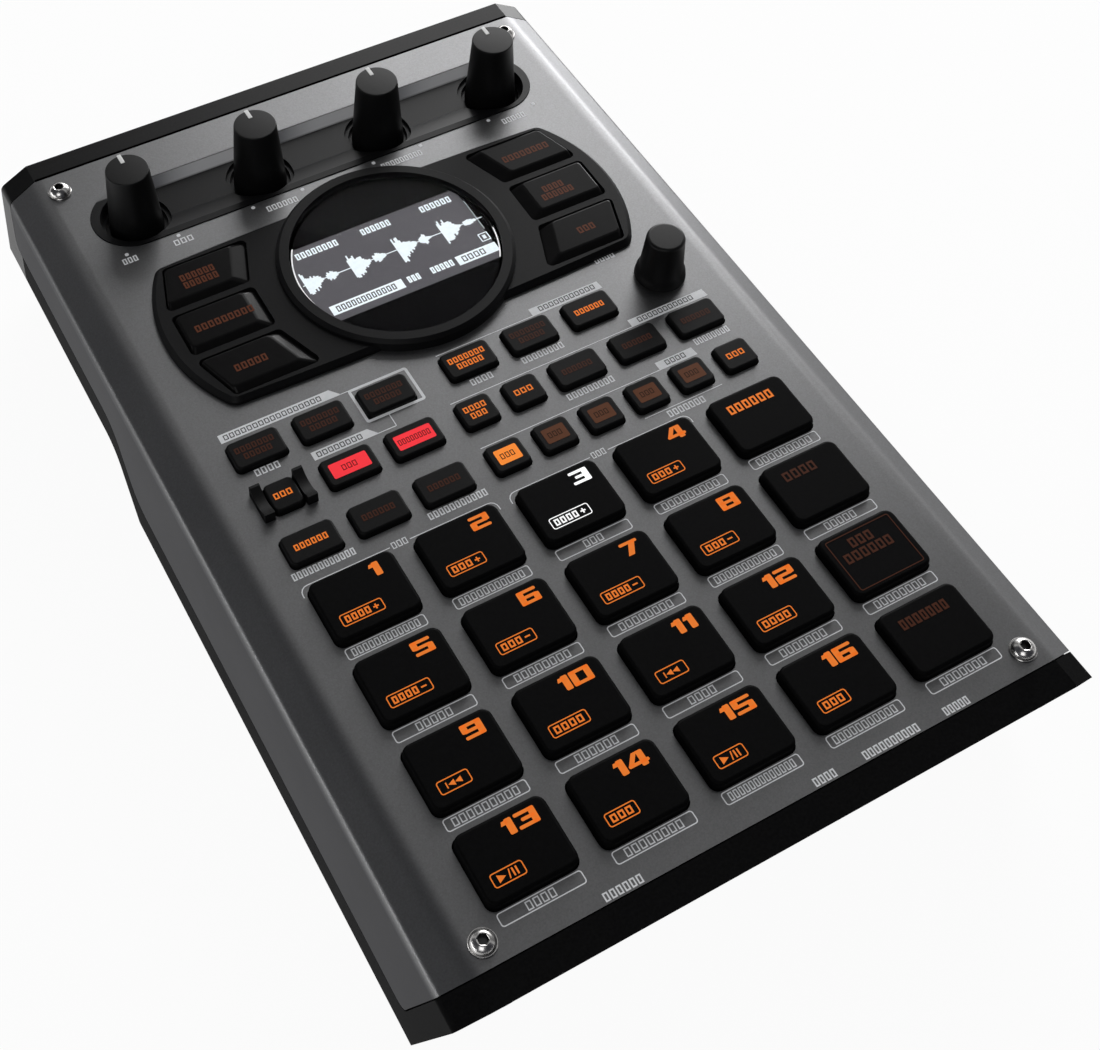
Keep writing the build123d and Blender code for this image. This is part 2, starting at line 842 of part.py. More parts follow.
def make_key_strip(keys):
    """A row of rubber keys joined by one web under the inner frame."""
    first_x, first_width = keys[0]
    last_x, last_width = keys[-1]
    x_low = first_x - first_width / 2 - key_flange_margin
    x_high = last_x + last_width / 2 + key_flange_margin
    half = key_depth / 2 + key_flange_margin
    strip = box_between(x_low, x_high, -half, half, frame_bottom_z - flange_thickness, frame_bottom_z)
    for x, width in keys:
        key = rounded_block(width, key_depth, frame_bottom_z, panel_z + key_rise, key_radius, key_bevel)
        strip += Pos(x, 0, 0) * key
    return strip


def frame_boss_places():
    """Bosses between the pads, from the inner frame to the board."""
    half_x = pad_pitch_x / 2
    places = []
    for x in (-3 * half_x, -half_x, half_x, 3 * half_x):
        for row in range(pad_rows - 1):
            places.append((x, pad_first_y - (row + 1 / 2) * pad_pitch_y))
    return places


def frame_front_y():
    """Front edge of the inner frame."""
    return pad_first_y - (pad_rows - 1) * pad_pitch_y - pad_depth / 2 - pad_flange_margin


def make_panel_frame():
    """Inner frame under the cover, with guard ribs and bosses for the board."""
    low = frame_bottom_z
    top = frame_top_z
    frame = box_between(-frame_half_width, frame_half_width, frame_front_y(), frame_rear_y, low, top)
    below = low - overrun
    above = top + overrun
    frame -= button_holes(below, above)
    hole = upright_cylinder(encoder_bushing_radius + sliding_gap, below, above)
    frame -= Pos(encoder_x, encoder_y, 0) * hole
    middle_y = key_first_y - key_row_pitch
    guard_top = panel_z + guard_rise
    scoop_z = panel_z + guard_rise + guard_scoop_radius - guard_rise / 2
    for x in guard_places():
        rib = box_between(
            x - guard_width / 2, x + guard_width / 2, middle_y - guard_depth / 2, middle_y + guard_depth / 2,
            top, guard_top,
        )
        scoop = Pos(x - guard_width, middle_y, scoop_z) * Rot(0, 90, 0) * Cylinder(
            guard_scoop_radius, 2 * guard_width, align=(Align.CENTER, Align.CENTER, Align.MIN)
        )
        frame += rib - scoop
    for x, y in frame_boss_places():
        frame += Pos(x, y, 0) * upright_cylinder(boss_radius, pad_board_top_z, low)
    return frame


def make_pad_board():
    """Circuit board under pads and keys, with a window for the encoder's body."""
    low = pad_board_top_z - board_thickness
    board = box_between(
        -frame_half_width, frame_half_width, frame_front_y(), frame_rear_y, low, pad_board_top_z
    )
    half = encoder_body_width / 2 + sliding_gap
    window = box_between(
        encoder_x - half, encoder_x + half, encoder_y - half, frame_rear_y + overrun, low - overrun, panel_z
    )
    sensor_top = pad_board_top_z + board_gap / 2
    sensor = rounded_block(pad_width / 2, pad_depth / 2, pad_board_top_z, sensor_top, pad_radius, 0)
    return board - window + [Pos(x, y, 0) * sensor for x, y in pad_places()]


def make_knob_trough():
    """Recessed moulding for the knobs: valley with sloped sides and four stepped wells."""
    low = panel_z - well_drop - well_floor
    top = panel_z + trough_proud
    trough = stadium(0, low, top)
    flange = stadium(-trough_flange, frame_top_z - well_floor, frame_top_z)
    trough += flange
    floor_z = panel_z - trough_floor_drop
    rear = trough_y + trough_radius - sliding_gap
    front = trough_y - trough_radius + trough_rim
    valley = [
        (rear, top + overrun),
        (rear, top),
        (rear - trough_rear_slope, floor_z),
        (front + trough_front_slope, floor_z),
        (front, top),
        (front, top + overrun),
    ]
    outer_well_x = (knob_count - 1) / 2 * knob_pitch
    trough -= prism_along_x(valley, [0] * len(valley), -outer_well_x, outer_well_x)
    for x in knob_places():
        trough -= Pos(x, knob_y, 0) * upright_cylinder(well_radius, panel_z - well_step_drop, top + overrun)
        trough -= Pos(x, knob_y, 0) * upright_cylinder(well_step_radius, panel_z - well_drop, top)
        trough -= Pos(x, knob_y, 0) * upright_cylinder(bushing_radius + running_gap, low - overrun, top)
    return trough


def make_control_knob():
    """Tapered knob with a pointer groove, hollow at its foot round the shaft, at the origin in plan."""
    low = panel_z - knob_foot_drop
    top = panel_z + knob_rise
    knob = upright_cone(knob_foot_radius, knob_top_radius, low, top)
    knob = chamfer(knob.faces().sort_by(Axis.Z)[-1].edges(), knob_edge)
    knob -= upright_cylinder(knob_hollow_radius, low - overrun, low + knob_hollow_depth)
    half = pointer_width / 2
    groove_y = knob_top_radius - pointer_length
    knob -= box_between(-half, half, groove_y, knob_foot_radius, top - pointer_depth, top + overrun)
    return knob + upright_cylinder(shaft_radius, pot_top_z(), low + knob_hollow_depth)


def pot_top_z():
    """Top of the pots' bodies, under the trough."""
    return panel_z - well_drop - well_floor


def make_rotary_controls():
    """Four pots with bushings on a board, and the encoder's body with its bushing."""
    solids = []
    top = pot_top_z()
    low = top - pot_height
    for x in knob_places():
        body = box_between(
            x - pot_width / 2, x + pot_width / 2, knob_y - pot_depth / 2, knob_y + pot_depth / 2, low, top
        )
        bushing = upright_cylinder(bushing_radius, top, top + well_floor)
        bushing -= upright_cylinder(shaft_radius + running_gap, top, top + overrun)
        solids.append(body)
        solids.append(Pos(x, knob_y, 0) * bushing)
    reach = knob_places()[-1] + pot_width / 2 + pot_board_margin
    half = pot_depth / 2 + pot_board_margin
    solids.append(box_between(-reach, reach, knob_y - half, knob_y + half, low - board_thickness, low))
    half = encoder_body_width / 2
    body_low = frame_bottom_z - encoder_body_height
    body = box_between(-half, half, -half, half, body_low, frame_bottom_z)
    body += upright_cylinder(encoder_bushing_radius, frame_bottom_z, panel_z)
    shaft_low = frame_bottom_z - encoder_body_height / 2 - encoder_travel
    body -= upright_cylinder(encoder_shaft_radius + running_gap, shaft_low, panel_z + overrun)
    solids.append(Pos(encoder_x, encoder_y, 0) * body)
    return Compound(children=solids)


def make_encoder_shaft():
    """Shaft that is pushed down through the encoder's bushing."""
    low = frame_bottom_z - encoder_body_height / 2
    top = panel_z + encoder_foot_rise + encoder_bore_depth
    return Pos(encoder_x, encoder_y, 0) * upright_cylinder(encoder_shaft_radius, low, top)


def make_encoder_knob():
    """Tapered knob with a collar round its foot."""
    foot = panel_z + encoder_foot_rise
    collar_top = panel_z + encoder_collar_rise
    neck = panel_z + encoder_neck_rise
    top = panel_z + encoder_rise
    knob = upright_cone(encoder_collar_radius, encoder_collar_top_radius, foot, collar_top)
    knob += upright_cone(encoder_collar_top_radius, encoder_neck_radius, collar_top, neck)
    cap = upright_cone(encoder_neck_radius, encoder_top_radius, neck, top)
    cap = chamfer(cap.faces().sort_by(Axis.Z)[-1].edges(), knob_edge)
    knob += cap
    bore_top = foot + encoder_bore_depth + running_gap
    knob -= upright_cylinder(encoder_shaft_radius + running_gap, foot - overrun, bore_top)
    return Pos(encoder_x, encoder_y, 0) * knob


def make_display_plate():
    """Plate with the round ring, the lens seat and six wells for the effect keys."""
    low = panel_z
    plate = extrude(Pos(0, plate_y, low) * plate_outline(0), amount=plate_rise)
    plate = chamfer(plate.faces().sort_by(Axis.Z)[-1].edges(), plate_bevel)
    ring = upright_cylinder(ring_radius, low, panel_z + ring_rise)
    ring = chamfer(ring.faces().sort_by(Axis.Z)[-1].edges(), ring_bevel)
    plate += Pos(0, plate_y, 0) * ring
    lens_low = panel_z + ring_rise - lens_sink - lens_thickness
    bore = upright_cylinder(ring_bore_radius, lens_low, panel_z + ring_rise + overrun)
    bore += upright_cylinder(ring_bore_radius - lens_ledge, low - overrun, lens_low)
    plate -= Pos(0, plate_y, 0) * bore
    for side in (-1, 1):
        for row in (-1, 0, 1):
            well = Pos(0, 0, low - overrun) * effect_outline(row, side, effect_well_gap)
            plate -= extrude(well, amount=plate_rise + 2 * overrun)
    boss_x = ring_bore_radius + boss_radius
    for x in (-boss_x, boss_x):
        plate += Pos(x, plate_y, 0) * upright_cylinder(boss_radius, display_board_top_z(), low)
    return plate


def display_board_top_z():
    """Top of the display board, below the effect keys' flanges at full travel."""
    return panel_z - effect_flange_thickness - effect_travel - board_gap


def make_effect_key(row, side):
    """Smoked key with bevelled facets, and a flange under the plate."""
    key = extrude(Pos(0, 0, panel_z) * effect_outline(row, side, 0), amount=effect_key_rise)
    key = chamfer(key.faces().sort_by(Axis.Z)[-1].edges(), effect_key_bevel)
    flange_low = panel_z - effect_flange_thickness
    margin = effect_well_gap + effect_flange_margin
    flange = Pos(0, 0, flange_low) * effect_outline(row, side, margin)
    flange = extrude(flange, amount=effect_flange_thickness)
    room = Pos(0, plate_y, flange_low) * plate_outline(plate_overlap + sliding_gap)
    return key + (flange & extrude(room, amount=effect_flange_thickness))


def make_display_lens():
    """Round cover glass in the ring."""
    low = panel_z + ring_rise - lens_sink - lens_thickness
    lens = upright_cylinder(ring_bore_radius - running_gap, low, low + lens_thickness)
    return Pos(0, plate_y, 0) * lens


def make_display_module():
    """Board under the plate with the display's glass on it."""
    top = display_board_top_z()
    board = box_between(
        -display_board_half_width, display_board_half_width, plate_y - display_board_half_depth,
        plate_y + display_board_half_depth, top - board_thickness, top,
    )
    glass_top = panel_z + ring_rise - lens_sink - lens_thickness - oled_sink
    glass = upright_cylinder(ring_bore_radius - lens_ledge - sliding_gap, top, glass_top)
    glass &= box_between(-ring_radius, ring_radius, -oled_height / 2, oled_height / 2, top, glass_top)
    return board + Pos(0, plate_y, 0) * glass


def front_board_limits():
    """The front socket board's low and high Y."""
    lowest_z = jack_z - jack_body_height / 2 - board_thickness
    low = front_wall_y(lowest_z) + case_wall + 2 * sliding_gap
    return (low, low + front_board_depth)


def jack(x, z, mouth_y, direction, sizes):
    """A socket lying along Y: body, bushing and blind bore. Direction 1 opens to the rear."""
    width, height, depth, bushing, bore, bore_depth, face_y = sizes
    back_y = face_y - direction * depth
    half = width / 2
    rise = height / 2
    body = box_between(x - half, x + half, min(face_y, back_y), max(face_y, back_y), z - rise, z + rise)
    body += cylinder_along_y(bushing, x, min(face_y, mouth_y), max(face_y, mouth_y), z)
    end_y = mouth_y - direction * bore_depth
    out_y = mouth_y + direction * overrun
    return body - cylinder_along_y(bore, x, min(end_y, out_y), max(end_y, out_y), z)


def make_front_jacks():
    """Front board with two large sockets, a small one, the gain pot and the switch body."""
    y_low, y_high = front_board_limits()
    board_top = jack_z - jack_body_height / 2
    solids = []
    reach = front_board_half_width
    board = box_between(-reach, reach, y_low, y_high, board_top - board_thickness, board_top)
    solids.append(board)
    mouth = front_wall_y(jack_z - jack_bushing_radius)
    sizes = (
        jack_body_width, jack_body_height, jack_body_depth, jack_bushing_radius, jack_bore_radius,
        jack_bore_depth, y_low,
    )
    for x in (phones_x, input_x):
        solids.append(jack(x, jack_z, mouth, -1, sizes))
    small = (
        mini_body_width, jack_body_height, mini_body_depth, mini_bushing_radius, mini_bore_radius,
        mini_bore_depth, y_low,
    )
    solids.append(jack(phones_mini_x, jack_z, mouth, -1, small))
    for x in (gain_x, input_switch_x):
        body_low = y_low + gain_length
        solids.append(box_between(
            x - pot_width / 2, x + pot_width / 2, body_low, body_low + pot_height, board_top,
            board_top + jack_body_height,
        ))
    return Compound(children=solids)


def make_gain_knob():
    """Small knob in the front face with a pointer groove, on its shaft."""
    y_low, y_high = front_board_limits()
    body_face = y_low + gain_length
    face = front_wall_y(jack_z) + face_recess
    knob = cylinder_along_y(gain_radius, gain_x, face, face + gain_length, jack_z)
    half = pointer_width / 2
    mark_y = face + pointer_depth
    mark_top = jack_z + gain_radius + overrun
    knob -= box_between(gain_x - half, gain_x + half, face - overrun, mark_y, jack_z, mark_top)
    shaft = cylinder_along_y(gain_shaft_radius, gain_x, face + gain_length, body_face, jack_z)
    return knob + shaft


def make_switch(x, z, face_y, inner_y):
    """A slide switch's lever with a stem that reaches inwards to its body."""
    half = switch_lever_width / 2
    rise = switch_lever_height / 2
    x_low = x - switch_travel / 2 - half
    inward = 1 if inner_y > face_y else -1
    lever_end = face_y + inward * switch_lever_length
    lever_y_low = min(face_y, lever_end)
    lever_y_high = max(face_y, lever_end)
    lever = box_between(x_low, x_low + switch_lever_width, lever_y_low, lever_y_high, z - rise, z + rise)
    stem = rise / 2
    stem_x = x_low + half
    lever += box_between(
        stem_x - stem, stem_x + stem, min(lever_end, inner_y), max(lever_end, inner_y), z - stem, z + stem
    )
    return lever


def make_input_switch():
    """Lever of the front input switch."""
    y_low, y_high = front_board_limits()
    return make_switch(input_switch_x, jack_z, front_wall_y(jack_z) + face_recess, y_low + gain_length)


def rear_face_y():
    """Front side of the rear wall at the sockets, where their bodies stop."""
    return rear_wall_y(rear_jack_z + jack_body_height / 2) - case_wall - sliding_gap


def make_power_switch():
    """Lever of the power switch."""
    outer = rear_wall_y(rear_jack_z) + sliding_gap
    inner = rear_face_y() - sliding_gap
    return make_switch(power_switch_x, rear_jack_z, outer, inner)


def make_rear_jacks():
    """Rear sockets that stand on the main board."""
    face = rear_face_y()
    mouth = rear_wall_y(rear_jack_z)
    solids = []
    large = (
        jack_body_width, jack_body_height, jack_body_depth, jack_bushing_radius, jack_bore_radius,
        jack_bore_depth, face,
    )
    for x in rear_jack_places():
        solids.append(jack(x, rear_jack_z, mouth, 1, large))
    small = (
        mini_body_width, mini_body_height, mini_body_depth, mini_bushing_radius, mini_bore_radius,
        mini_bore_depth, face,
    )
    mini_z = main_board_top_z + mini_body_height / 2
    for x in rear_mini_places():
        solids.append(jack(x, mini_z, mouth, 1, small))
    inlet_z = main_board_top_z + power_inlet_height / 2
    inlet_sizes = (
        power_inlet_width, power_inlet_height, power_inlet_depth, power_inlet_width / 2 - 2 * sliding_gap,
        power_inlet_bore_radius, power_inlet_bore_depth, face,
    )
    inlet = jack(power_inlet_x, inlet_z, mouth, 1, inlet_sizes)
    pin_y = mouth - power_inlet_bore_depth
    pin = cylinder_along_y(power_inlet_pin_radius, power_inlet_x, pin_y, mouth, inlet_z)
    solids.append(inlet + pin)
    half = usb_width / 2 + usb_shell
    low = main_board_top_z
    high = low + usb_height + 2 * usb_shell
    shell = box_between(usb_x - half, usb_x + half, mouth - usb_depth, mouth, low, high)
    hollow = box_between(
        usb_x - usb_width / 2, usb_x + usb_width / 2, mouth - usb_depth + usb_shell, mouth + overrun,
        low + usb_shell, high - usb_shell,
    )
    solids.append(shell - hollow)
    half = pot_width / 2
    body_y = face - sliding_gap
    body_x = power_switch_x - half
    top = low + jack_body_height
    solids.append(box_between(body_x, body_x + pot_width, body_y - pot_height, body_y, low, top))
    return Compound(children=solids)


def make_main_board():
    """Main circuit board with its chips, on four posts over the battery bay."""
    x_low, x_high, y_low, y_high = main_board_limits()
    board = box_between(x_low, x_high, y_low, y_high, main_board_bottom_z, main_board_top_z)
    for x in (-2 * chip_size, 0, 2 * chip_size):
        half = chip_size / 2
        chip = box_between(-half, half, -half, half, main_board_top_z, main_board_top_z + chip_height)
        board += Pos(x, bay_y, 0) * chip
    return board


def build_parts():
    """Every piece by its node name."""
    shell = dark_shell()
    parts = {
        "top_panel": make_top_panel(),
        "front_bezel": make_front_bezel(shell),
        "rear_bezel": make_rear_bezel(shell),
        "bottom_case": make_bottom_case(shell),
        "battery_door": make_battery_door(),
        "battery_contacts": make_battery_contacts(),
        "case_screws": make_case_screws(),
        "rubber_feet": make_rubber_feet(),
        "panel_screws": make_panel_screws(),
        "panel_frame": make_panel_frame(),
        "pad_board": make_pad_board(),
        "knob_trough": make_knob_trough(),
        "rotary_controls": make_rotary_controls(),
        "encoder_shaft": make_encoder_shaft(),
        "encoder_knob": make_encoder_knob(),
        "display_plate": make_display_plate(),
        "display_lens": make_display_lens(),
        "display_module": make_display_module(),
        "front_jacks": make_front_jacks(),
        "gain_knob": make_gain_knob(),
        "input_switch": make_input_switch(),
        "rear_jacks": make_rear_jacks(),
        "power_switch": make_power_switch(),
        "main_board": make_main_board(),
    }
    pad = make_pad()
    numbered = 0
    sided = 0
    for index, (x, y) in enumerate(pad_places()):
        if index % pad_columns == pad_columns - 1:
            sided += 1
            name = f"side_pad_{sided}"
        else:
            numbered += 1
            name = f"pad_{numbered:02d}"
        parts[name] = Pos(x, y, 0) * pad
    for name, row_y, keys in key_rows():
        parts[name] = Pos(0, row_y, 0) * make_key_strip(keys)
    knob = make_control_knob()
    for index, x in enumerate(knob_places()):
        parts[f"control_knob_{index + 1}"] = Pos(x, knob_y, 0) * knob
    number = 0
    for side in (-1, 1):
        for row in (1, 0, -1):
            number += 1
            parts[f"effect_key_{number}"] = make_effect_key(row, side)
    return parts


os.makedirs("parts", exist_ok=True)
for node, solid in build_parts().items():
    export_step(solid, f"parts/{node}.step")
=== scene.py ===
import math
import random

import bmesh
import bpy
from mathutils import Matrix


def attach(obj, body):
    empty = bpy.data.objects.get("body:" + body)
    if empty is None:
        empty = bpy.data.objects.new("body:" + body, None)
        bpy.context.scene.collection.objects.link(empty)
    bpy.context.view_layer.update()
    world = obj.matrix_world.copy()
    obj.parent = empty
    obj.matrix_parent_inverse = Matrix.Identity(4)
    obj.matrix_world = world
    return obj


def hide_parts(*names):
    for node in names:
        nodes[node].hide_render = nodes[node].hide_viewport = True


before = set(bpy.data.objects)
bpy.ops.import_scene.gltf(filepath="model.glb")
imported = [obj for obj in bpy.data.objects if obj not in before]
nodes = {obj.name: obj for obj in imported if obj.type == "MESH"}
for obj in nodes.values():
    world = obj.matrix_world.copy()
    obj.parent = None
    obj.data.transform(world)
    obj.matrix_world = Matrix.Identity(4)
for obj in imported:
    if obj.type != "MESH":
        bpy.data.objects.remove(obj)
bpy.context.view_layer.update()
bpy.context.scene.view_settings.view_transform = "Standard"

# The studio. A pale table runs out past the picture's edges, under a sky that is brightest
# towards the right rear. Two soft boxes stand behind that corner, a long low one at the
# left and a weak one in front, and the camera looks down from beside the front left corner.
white = (1, 1, 1, 1)
bright_way = (0.70, 0.714, 0.0)
sky_greys = ((0.66, 0.74), (0.76, 0.12), (0.90, 0.36), (0.97, 2.2))
sky_stops = [(0.30, (0.040, 0.043, 0.050)), (0.59, (0.06, 0.062, 0.07))]
sky_stops += [(place, (tone, tone, tone)) for place, tone in sky_greys]
table_size = 6.0
table_white_share = 0.95


def wire(tree, kind, sources, operation=None):
    """Adds a node to a tree and feeds its sockets in turn, each with a link or a value."""
    node = tree.nodes.new(kind)
    if operation:
        node.operation = operation
    for socket, source in zip(node.inputs, sources):
        if isinstance(source, bpy.types.NodeSocket):
            tree.links.new(source, socket)
        elif source is not None:
            socket.default_value = source
    return node


def maths(tree, operation, *sources):
    """The result of a maths node."""
    return wire(tree, "ShaderNodeMath", sources, operation).outputs[0]


def remap(tree, value, *ends):
    """Maps a value from one range to another."""
    return wire(tree, "ShaderNodeMapRange", (value, *ends)).outputs[0]


def colour_ramp(tree, source, stops):
    """The colour of a ramp, which has a colour at each of its stops."""
    ramp = wire(tree, "ShaderNodeValToRGB", (source,))
    elements = ramp.color_ramp.elements
    for number, (place, colour) in enumerate(stops):
        stop = elements[number] if number < 2 else elements.new(place)
        stop.position = place
        stop.color = (*colour, 1)
    return ramp.outputs[0]


def deselect():
    """Leaves nothing selected, so that an operator acts only on what comes next."""
    bpy.ops.object.select_all(action="DESELECT")


def settle(name):
    """Names the new primitive and moves its place, turn and scale into its mesh."""
    piece = bpy.context.object
    piece.name = name
    bpy.ops.object.transform_apply(location=True, rotation=True, scale=True)
    return piece


world = bpy.data.worlds.new("studio_world")
bpy.context.scene.world = world
world.use_nodes = True
sky = world.node_tree
sky_way = sky.nodes.new("ShaderNodeTexCoord").outputs["Generated"]
sky_side = wire(sky, "ShaderNodeVectorMath", (sky_way, bright_way), "DOT_PRODUCT")
sky_place = maths(sky, "MULTIPLY_ADD", sky_side.outputs["Value"], 0.5, 0.5)
sky_tone = colour_ramp(sky, sky_place, sky_stops)
sky_rays = sky.nodes.new("ShaderNodeLightPath").outputs
sky_share = maths(sky, "ADD", sky_rays["Is Camera Ray"], sky_rays["Is Transmission Ray"])
sky_pick = wire(sky, "ShaderNodeMixRGB", (sky_share, sky_tone, white))
sky.links.new(sky_pick.outputs[0], sky.nodes["Background"].inputs["Color"])
sky.nodes["Background"].inputs["Strength"].default_value = 1.0

deselect()
bpy.ops.mesh.primitive_plane_add(size=table_size, location=(0, 0, 0))
table = settle("table")
table_paint = bpy.data.materials.new("table_paint")
table_paint.use_nodes = True
tree = table_paint.node_tree
shader = tree.nodes["Principled BSDF"]
shader.inputs["Base Color"].default_value = (0.88, 0.88, 0.88, 1)
shader.inputs["Roughness"].default_value = 0.8
table_glow = wire(tree, "ShaderNodeEmission", (white, 1.0))
table_rays = tree.nodes.new("ShaderNodeLightPath").outputs
table_seen = maths(tree, "ADD", table_rays["Is Camera Ray"], table_rays["Is Glossy Ray"])
table_seen = maths(tree, "ADD", table_seen, table_rays["Is Transmission Ray"])
table_seen.node.use_clamp = True
table_share = maths(tree, "MULTIPLY", table_seen, table_white_share)
table_looks = (shader.outputs[0], table_glow.outputs[0])
table_mix = wire(tree, "ShaderNodeMixShader", (table_share, *table_looks))
tree.links.new(table_mix.outputs[0], tree.nodes["Material Output"].inputs["Surface"])
table.data.materials.append(table_paint)

for name, place, aim, width, height, power in (
    ("rear_soft_box", (0.70, 0.93, 0.60), (0.03, 0.03, 0.05), 0.8, 1.0, 9.5),
    ("rear_low_box", (0.85, 0.80, 0.17), (0.08, 0.12, 0.05), 0.5, 0.3, 4.8),
    ("left_low_box", (-1.5, 0.15, 0.15), (-0.09, 0.0, 0.05), 1.6, 0.12, 4.5),
    ("front_fill", (-0.9, -1.1, 1.2), (0.0, 0.0, 0.05), 0.9, 0.9, 6.0),
):
    bpy.ops.object.light_add(type="AREA", location=place)
    lamp = bpy.context.object
    lamp.name = name
    lamp.data.shape = "RECTANGLE"
    lamp.data.size = width
    lamp.data.size_y = height
    lamp.data.energy = power
    along = [aim[i] - place[i] for i in range(3)]
    tilt = math.atan2(math.hypot(along[0], along[1]), -along[2])
    lamp.rotation_euler = (tilt, 0, math.atan2(along[1], along[0]) - math.pi / 2)

bpy.ops.object.camera_add(location=(-0.14268, -0.22363, 0.39795))
camera = bpy.context.object
camera.name = "camera"
camera.rotation_euler = [math.radians(angle) for angle in (37.146, -1.127, -28.789)]
camera.data.sensor_width = 36
camera.data.lens = 54.90
camera.data.shift_x = 0.0909
camera.data.shift_y = -0.1136
camera.data.clip_start = 0.01
bpy.context.scene.camera = camera

# The case. Base, battery door and front are black moulded plastic with a fine sparked
# grain. The rear moulding is the same plastic with a little more shine.
broad_grain = 24.0
roughness_swing = 0.05
grain_height = 0.0001


def finish_like(
    name, colour, roughness, metallic=0.0, spread=0.15, grain=900.0, bump=0.0, gloss=0.5
):
    """A moulded or painted finish: its colour and roughness vary a little with a grain."""
    paint = bpy.data.materials.new(name)
    paint.use_nodes = True
    tree = paint.node_tree
    shader = tree.nodes["Principled BSDF"]
    where = tree.nodes.new("ShaderNodeTexCoord").outputs["Object"]
    fine = wire(tree, "ShaderNodeTexNoise", (where, None, grain, 4.0)).outputs["Fac"]
    stops = [(0.3, [c * (1 - spread) for c in colour]), (0.7, [c * (1 + spread) for c in colour])]
    tree.links.new(colour_ramp(tree, fine, stops), shader.inputs["Base Color"])
    broad = wire(tree, "ShaderNodeTexNoise", (where, None, broad_grain, 3.0)).outputs["Fac"]
    smoothest, roughest = roughness - roughness_swing, roughness + roughness_swing
    wear = remap(tree, broad, None, None, smoothest, roughest)
    tree.links.new(wear, shader.inputs["Roughness"])
    shader.inputs["Metallic"].default_value = metallic
    shader.inputs["Specular IOR Level"].default_value = gloss
    if bump > 0:
        rise = tree.nodes.new("ShaderNodeBump")
        rise.inputs["Strength"].default_value = bump
        rise.inputs["Distance"].default_value = grain_height
        tree.links.new(fine, rise.inputs["Height"])
        tree.links.new(rise.outputs[0], shader.inputs["Normal"])
    return paint


def wear_finish(paint, *wearers):
    """Gives a finish to every slot of some CAD nodes."""
    for wearer in wearers:
        for slot in nodes[wearer].material_slots:
            slot.material = paint


case_plastic = finish_like(
    "case_plastic", (0.0068, 0.0068, 0.007), 0.42, spread=0.2, grain=1400, bump=0.1, gloss=0.003
)
wear_finish(case_plastic, "front_bezel", "bottom_case", "battery_door")
rear_plastic = finish_like(
    "rear_plastic", (0.006, 0.006, 0.0062), 0.36, spread=0.2, grain=1400, bump=0.1, gloss=0.12
)
wear_finish(rear_plastic, "rear_bezel")

# The feet and the screws under the case. Matt grey-black rubber discs glued in recesses,
# and blackened steel screws driven up into the case from below.
foot_rubber = finish_like(
    "foot_rubber", (0.012, 0.012, 0.012), 0.85, spread=0.3, grain=700, bump=0.3
)
wear_finish(foot_rubber, "rubber_feet")
dark_steel = finish_like("dark_steel", (0.06, 0.06, 0.065), 0.35, metallic=1.0, spread=0.1)
wear_finish(dark_steel, "case_screws")

# The battery contacts. Nickel-plated spring steel strips, pressed into the walls of the
# battery bay.
plated_steel = finish_like("plated_steel", (0.72, 0.71, 0.69), 0.25, metallic=1.0, spread=0.06)
wear_finish(plated_steel, "battery_contacts")

# The boards and what is soldered to them. Green glass-fibre boards screwed to the base,
# dark moulded socket bodies, and pots and an encoder in plain metal cans.
board_green = finish_like("board_green", (0.015, 0.07, 0.035), 0.4, spread=0.25, grain=300)
wear_finish(board_green, "pad_board", "main_board")
socket_plastic = finish_like("socket_plastic", (0.014, 0.014, 0.015), 0.35, grain=900)
wear_finish(socket_plastic, "front_jacks", "rear_jacks")
pot_metal = finish_like("pot_metal", (0.42, 0.42, 0.43), 0.4, metallic=1.0)
wear_finish(pot_metal, "rotary_controls", "encoder_shaft")

# The switch levers. Small moulded black levers that slide in slots in the front and rear
# mouldings.
lever_plastic = finish_like("lever_plastic", (0.02, 0.02, 0.021), 0.55, grain=1200, bump=0.2)
wear_finish(lever_plastic, "input_switch", "power_switch")

# The panel frame. A black moulded grid under the cover that holds the flanges of pads and
# keys. Its two guard ribs stand up through the cover beside one small key.
frame_plastic = finish_like(
    "frame_plastic", (0.004, 0.004, 0.0042), 0.5, grain=1200, bump=0.1, gloss=0.2
)
wear_finish(frame_plastic, "panel_frame")

# The cover. Folded sheet steel in a satin grey metallic paint, whose flakes give it a fine
# sparkle. Its folded sides are painted darker lower down, as painted shade, and the bend
# beside the flat top is soft.
panel_z = 0.052
flake_grain = 2400
glint_share, glint_colour = 0.07, 0.15
# Painted shade: below these heights the cover's colour falls to a share of itself.
painted_shade_low_z, painted_shade_high_z = 0.0440, 0.0466
painted_shade_share = 0.42
bend_start_x, bend_end_x = 0.0748, 0.0808
bend_slope = 0.602
bend_middle_x, bend_reach = 0.0778, 0.0030
level_normal = 0.85
cover_paint = finish_like(
    "cover_paint", (0.161, 0.165, 0.180), 0.365, metallic=0.85, spread=0.06, grain=2600, bump=0.06
)
tree = cover_paint.node_tree
shader = tree.nodes["Principled BSDF"]
shader.inputs["Specular Tint"].default_value = (0.35, 0.35, 0.36, 1)
where = tree.nodes["Texture Coordinate"].outputs["Object"]
cover_grey = tree.nodes["Color Ramp"].outputs[0]
flake = wire(tree, "ShaderNodeTexVoronoi", (where, None, flake_grain))
glint = wire(tree, "ShaderNodeMixRGB", (glint_share, cover_grey, flake.outputs["Color"]))
glint.blend_type = "OVERLAY"
glint_looks = (None, glint_colour, None, None, glint.outputs[0])
flake_grey = wire(tree, "ShaderNodeHueSaturation", glint_looks)
split = wire(tree, "ShaderNodeSeparateXYZ", (where,)).outputs
painted_shade_tone = remap(tree, split["Z"], painted_shade_low_z, painted_shade_high_z, painted_shade_share, 1.0)
side_painted_shade = wire(tree, "ShaderNodeMixRGB", (1.0, flake_grey.outputs[0], painted_shade_tone))
side_painted_shade.blend_type = "MULTIPLY"
tree.links.new(side_painted_shade.outputs[0], shader.inputs["Base Color"])
bend_near = maths(tree, "ABSOLUTE", split["X"])
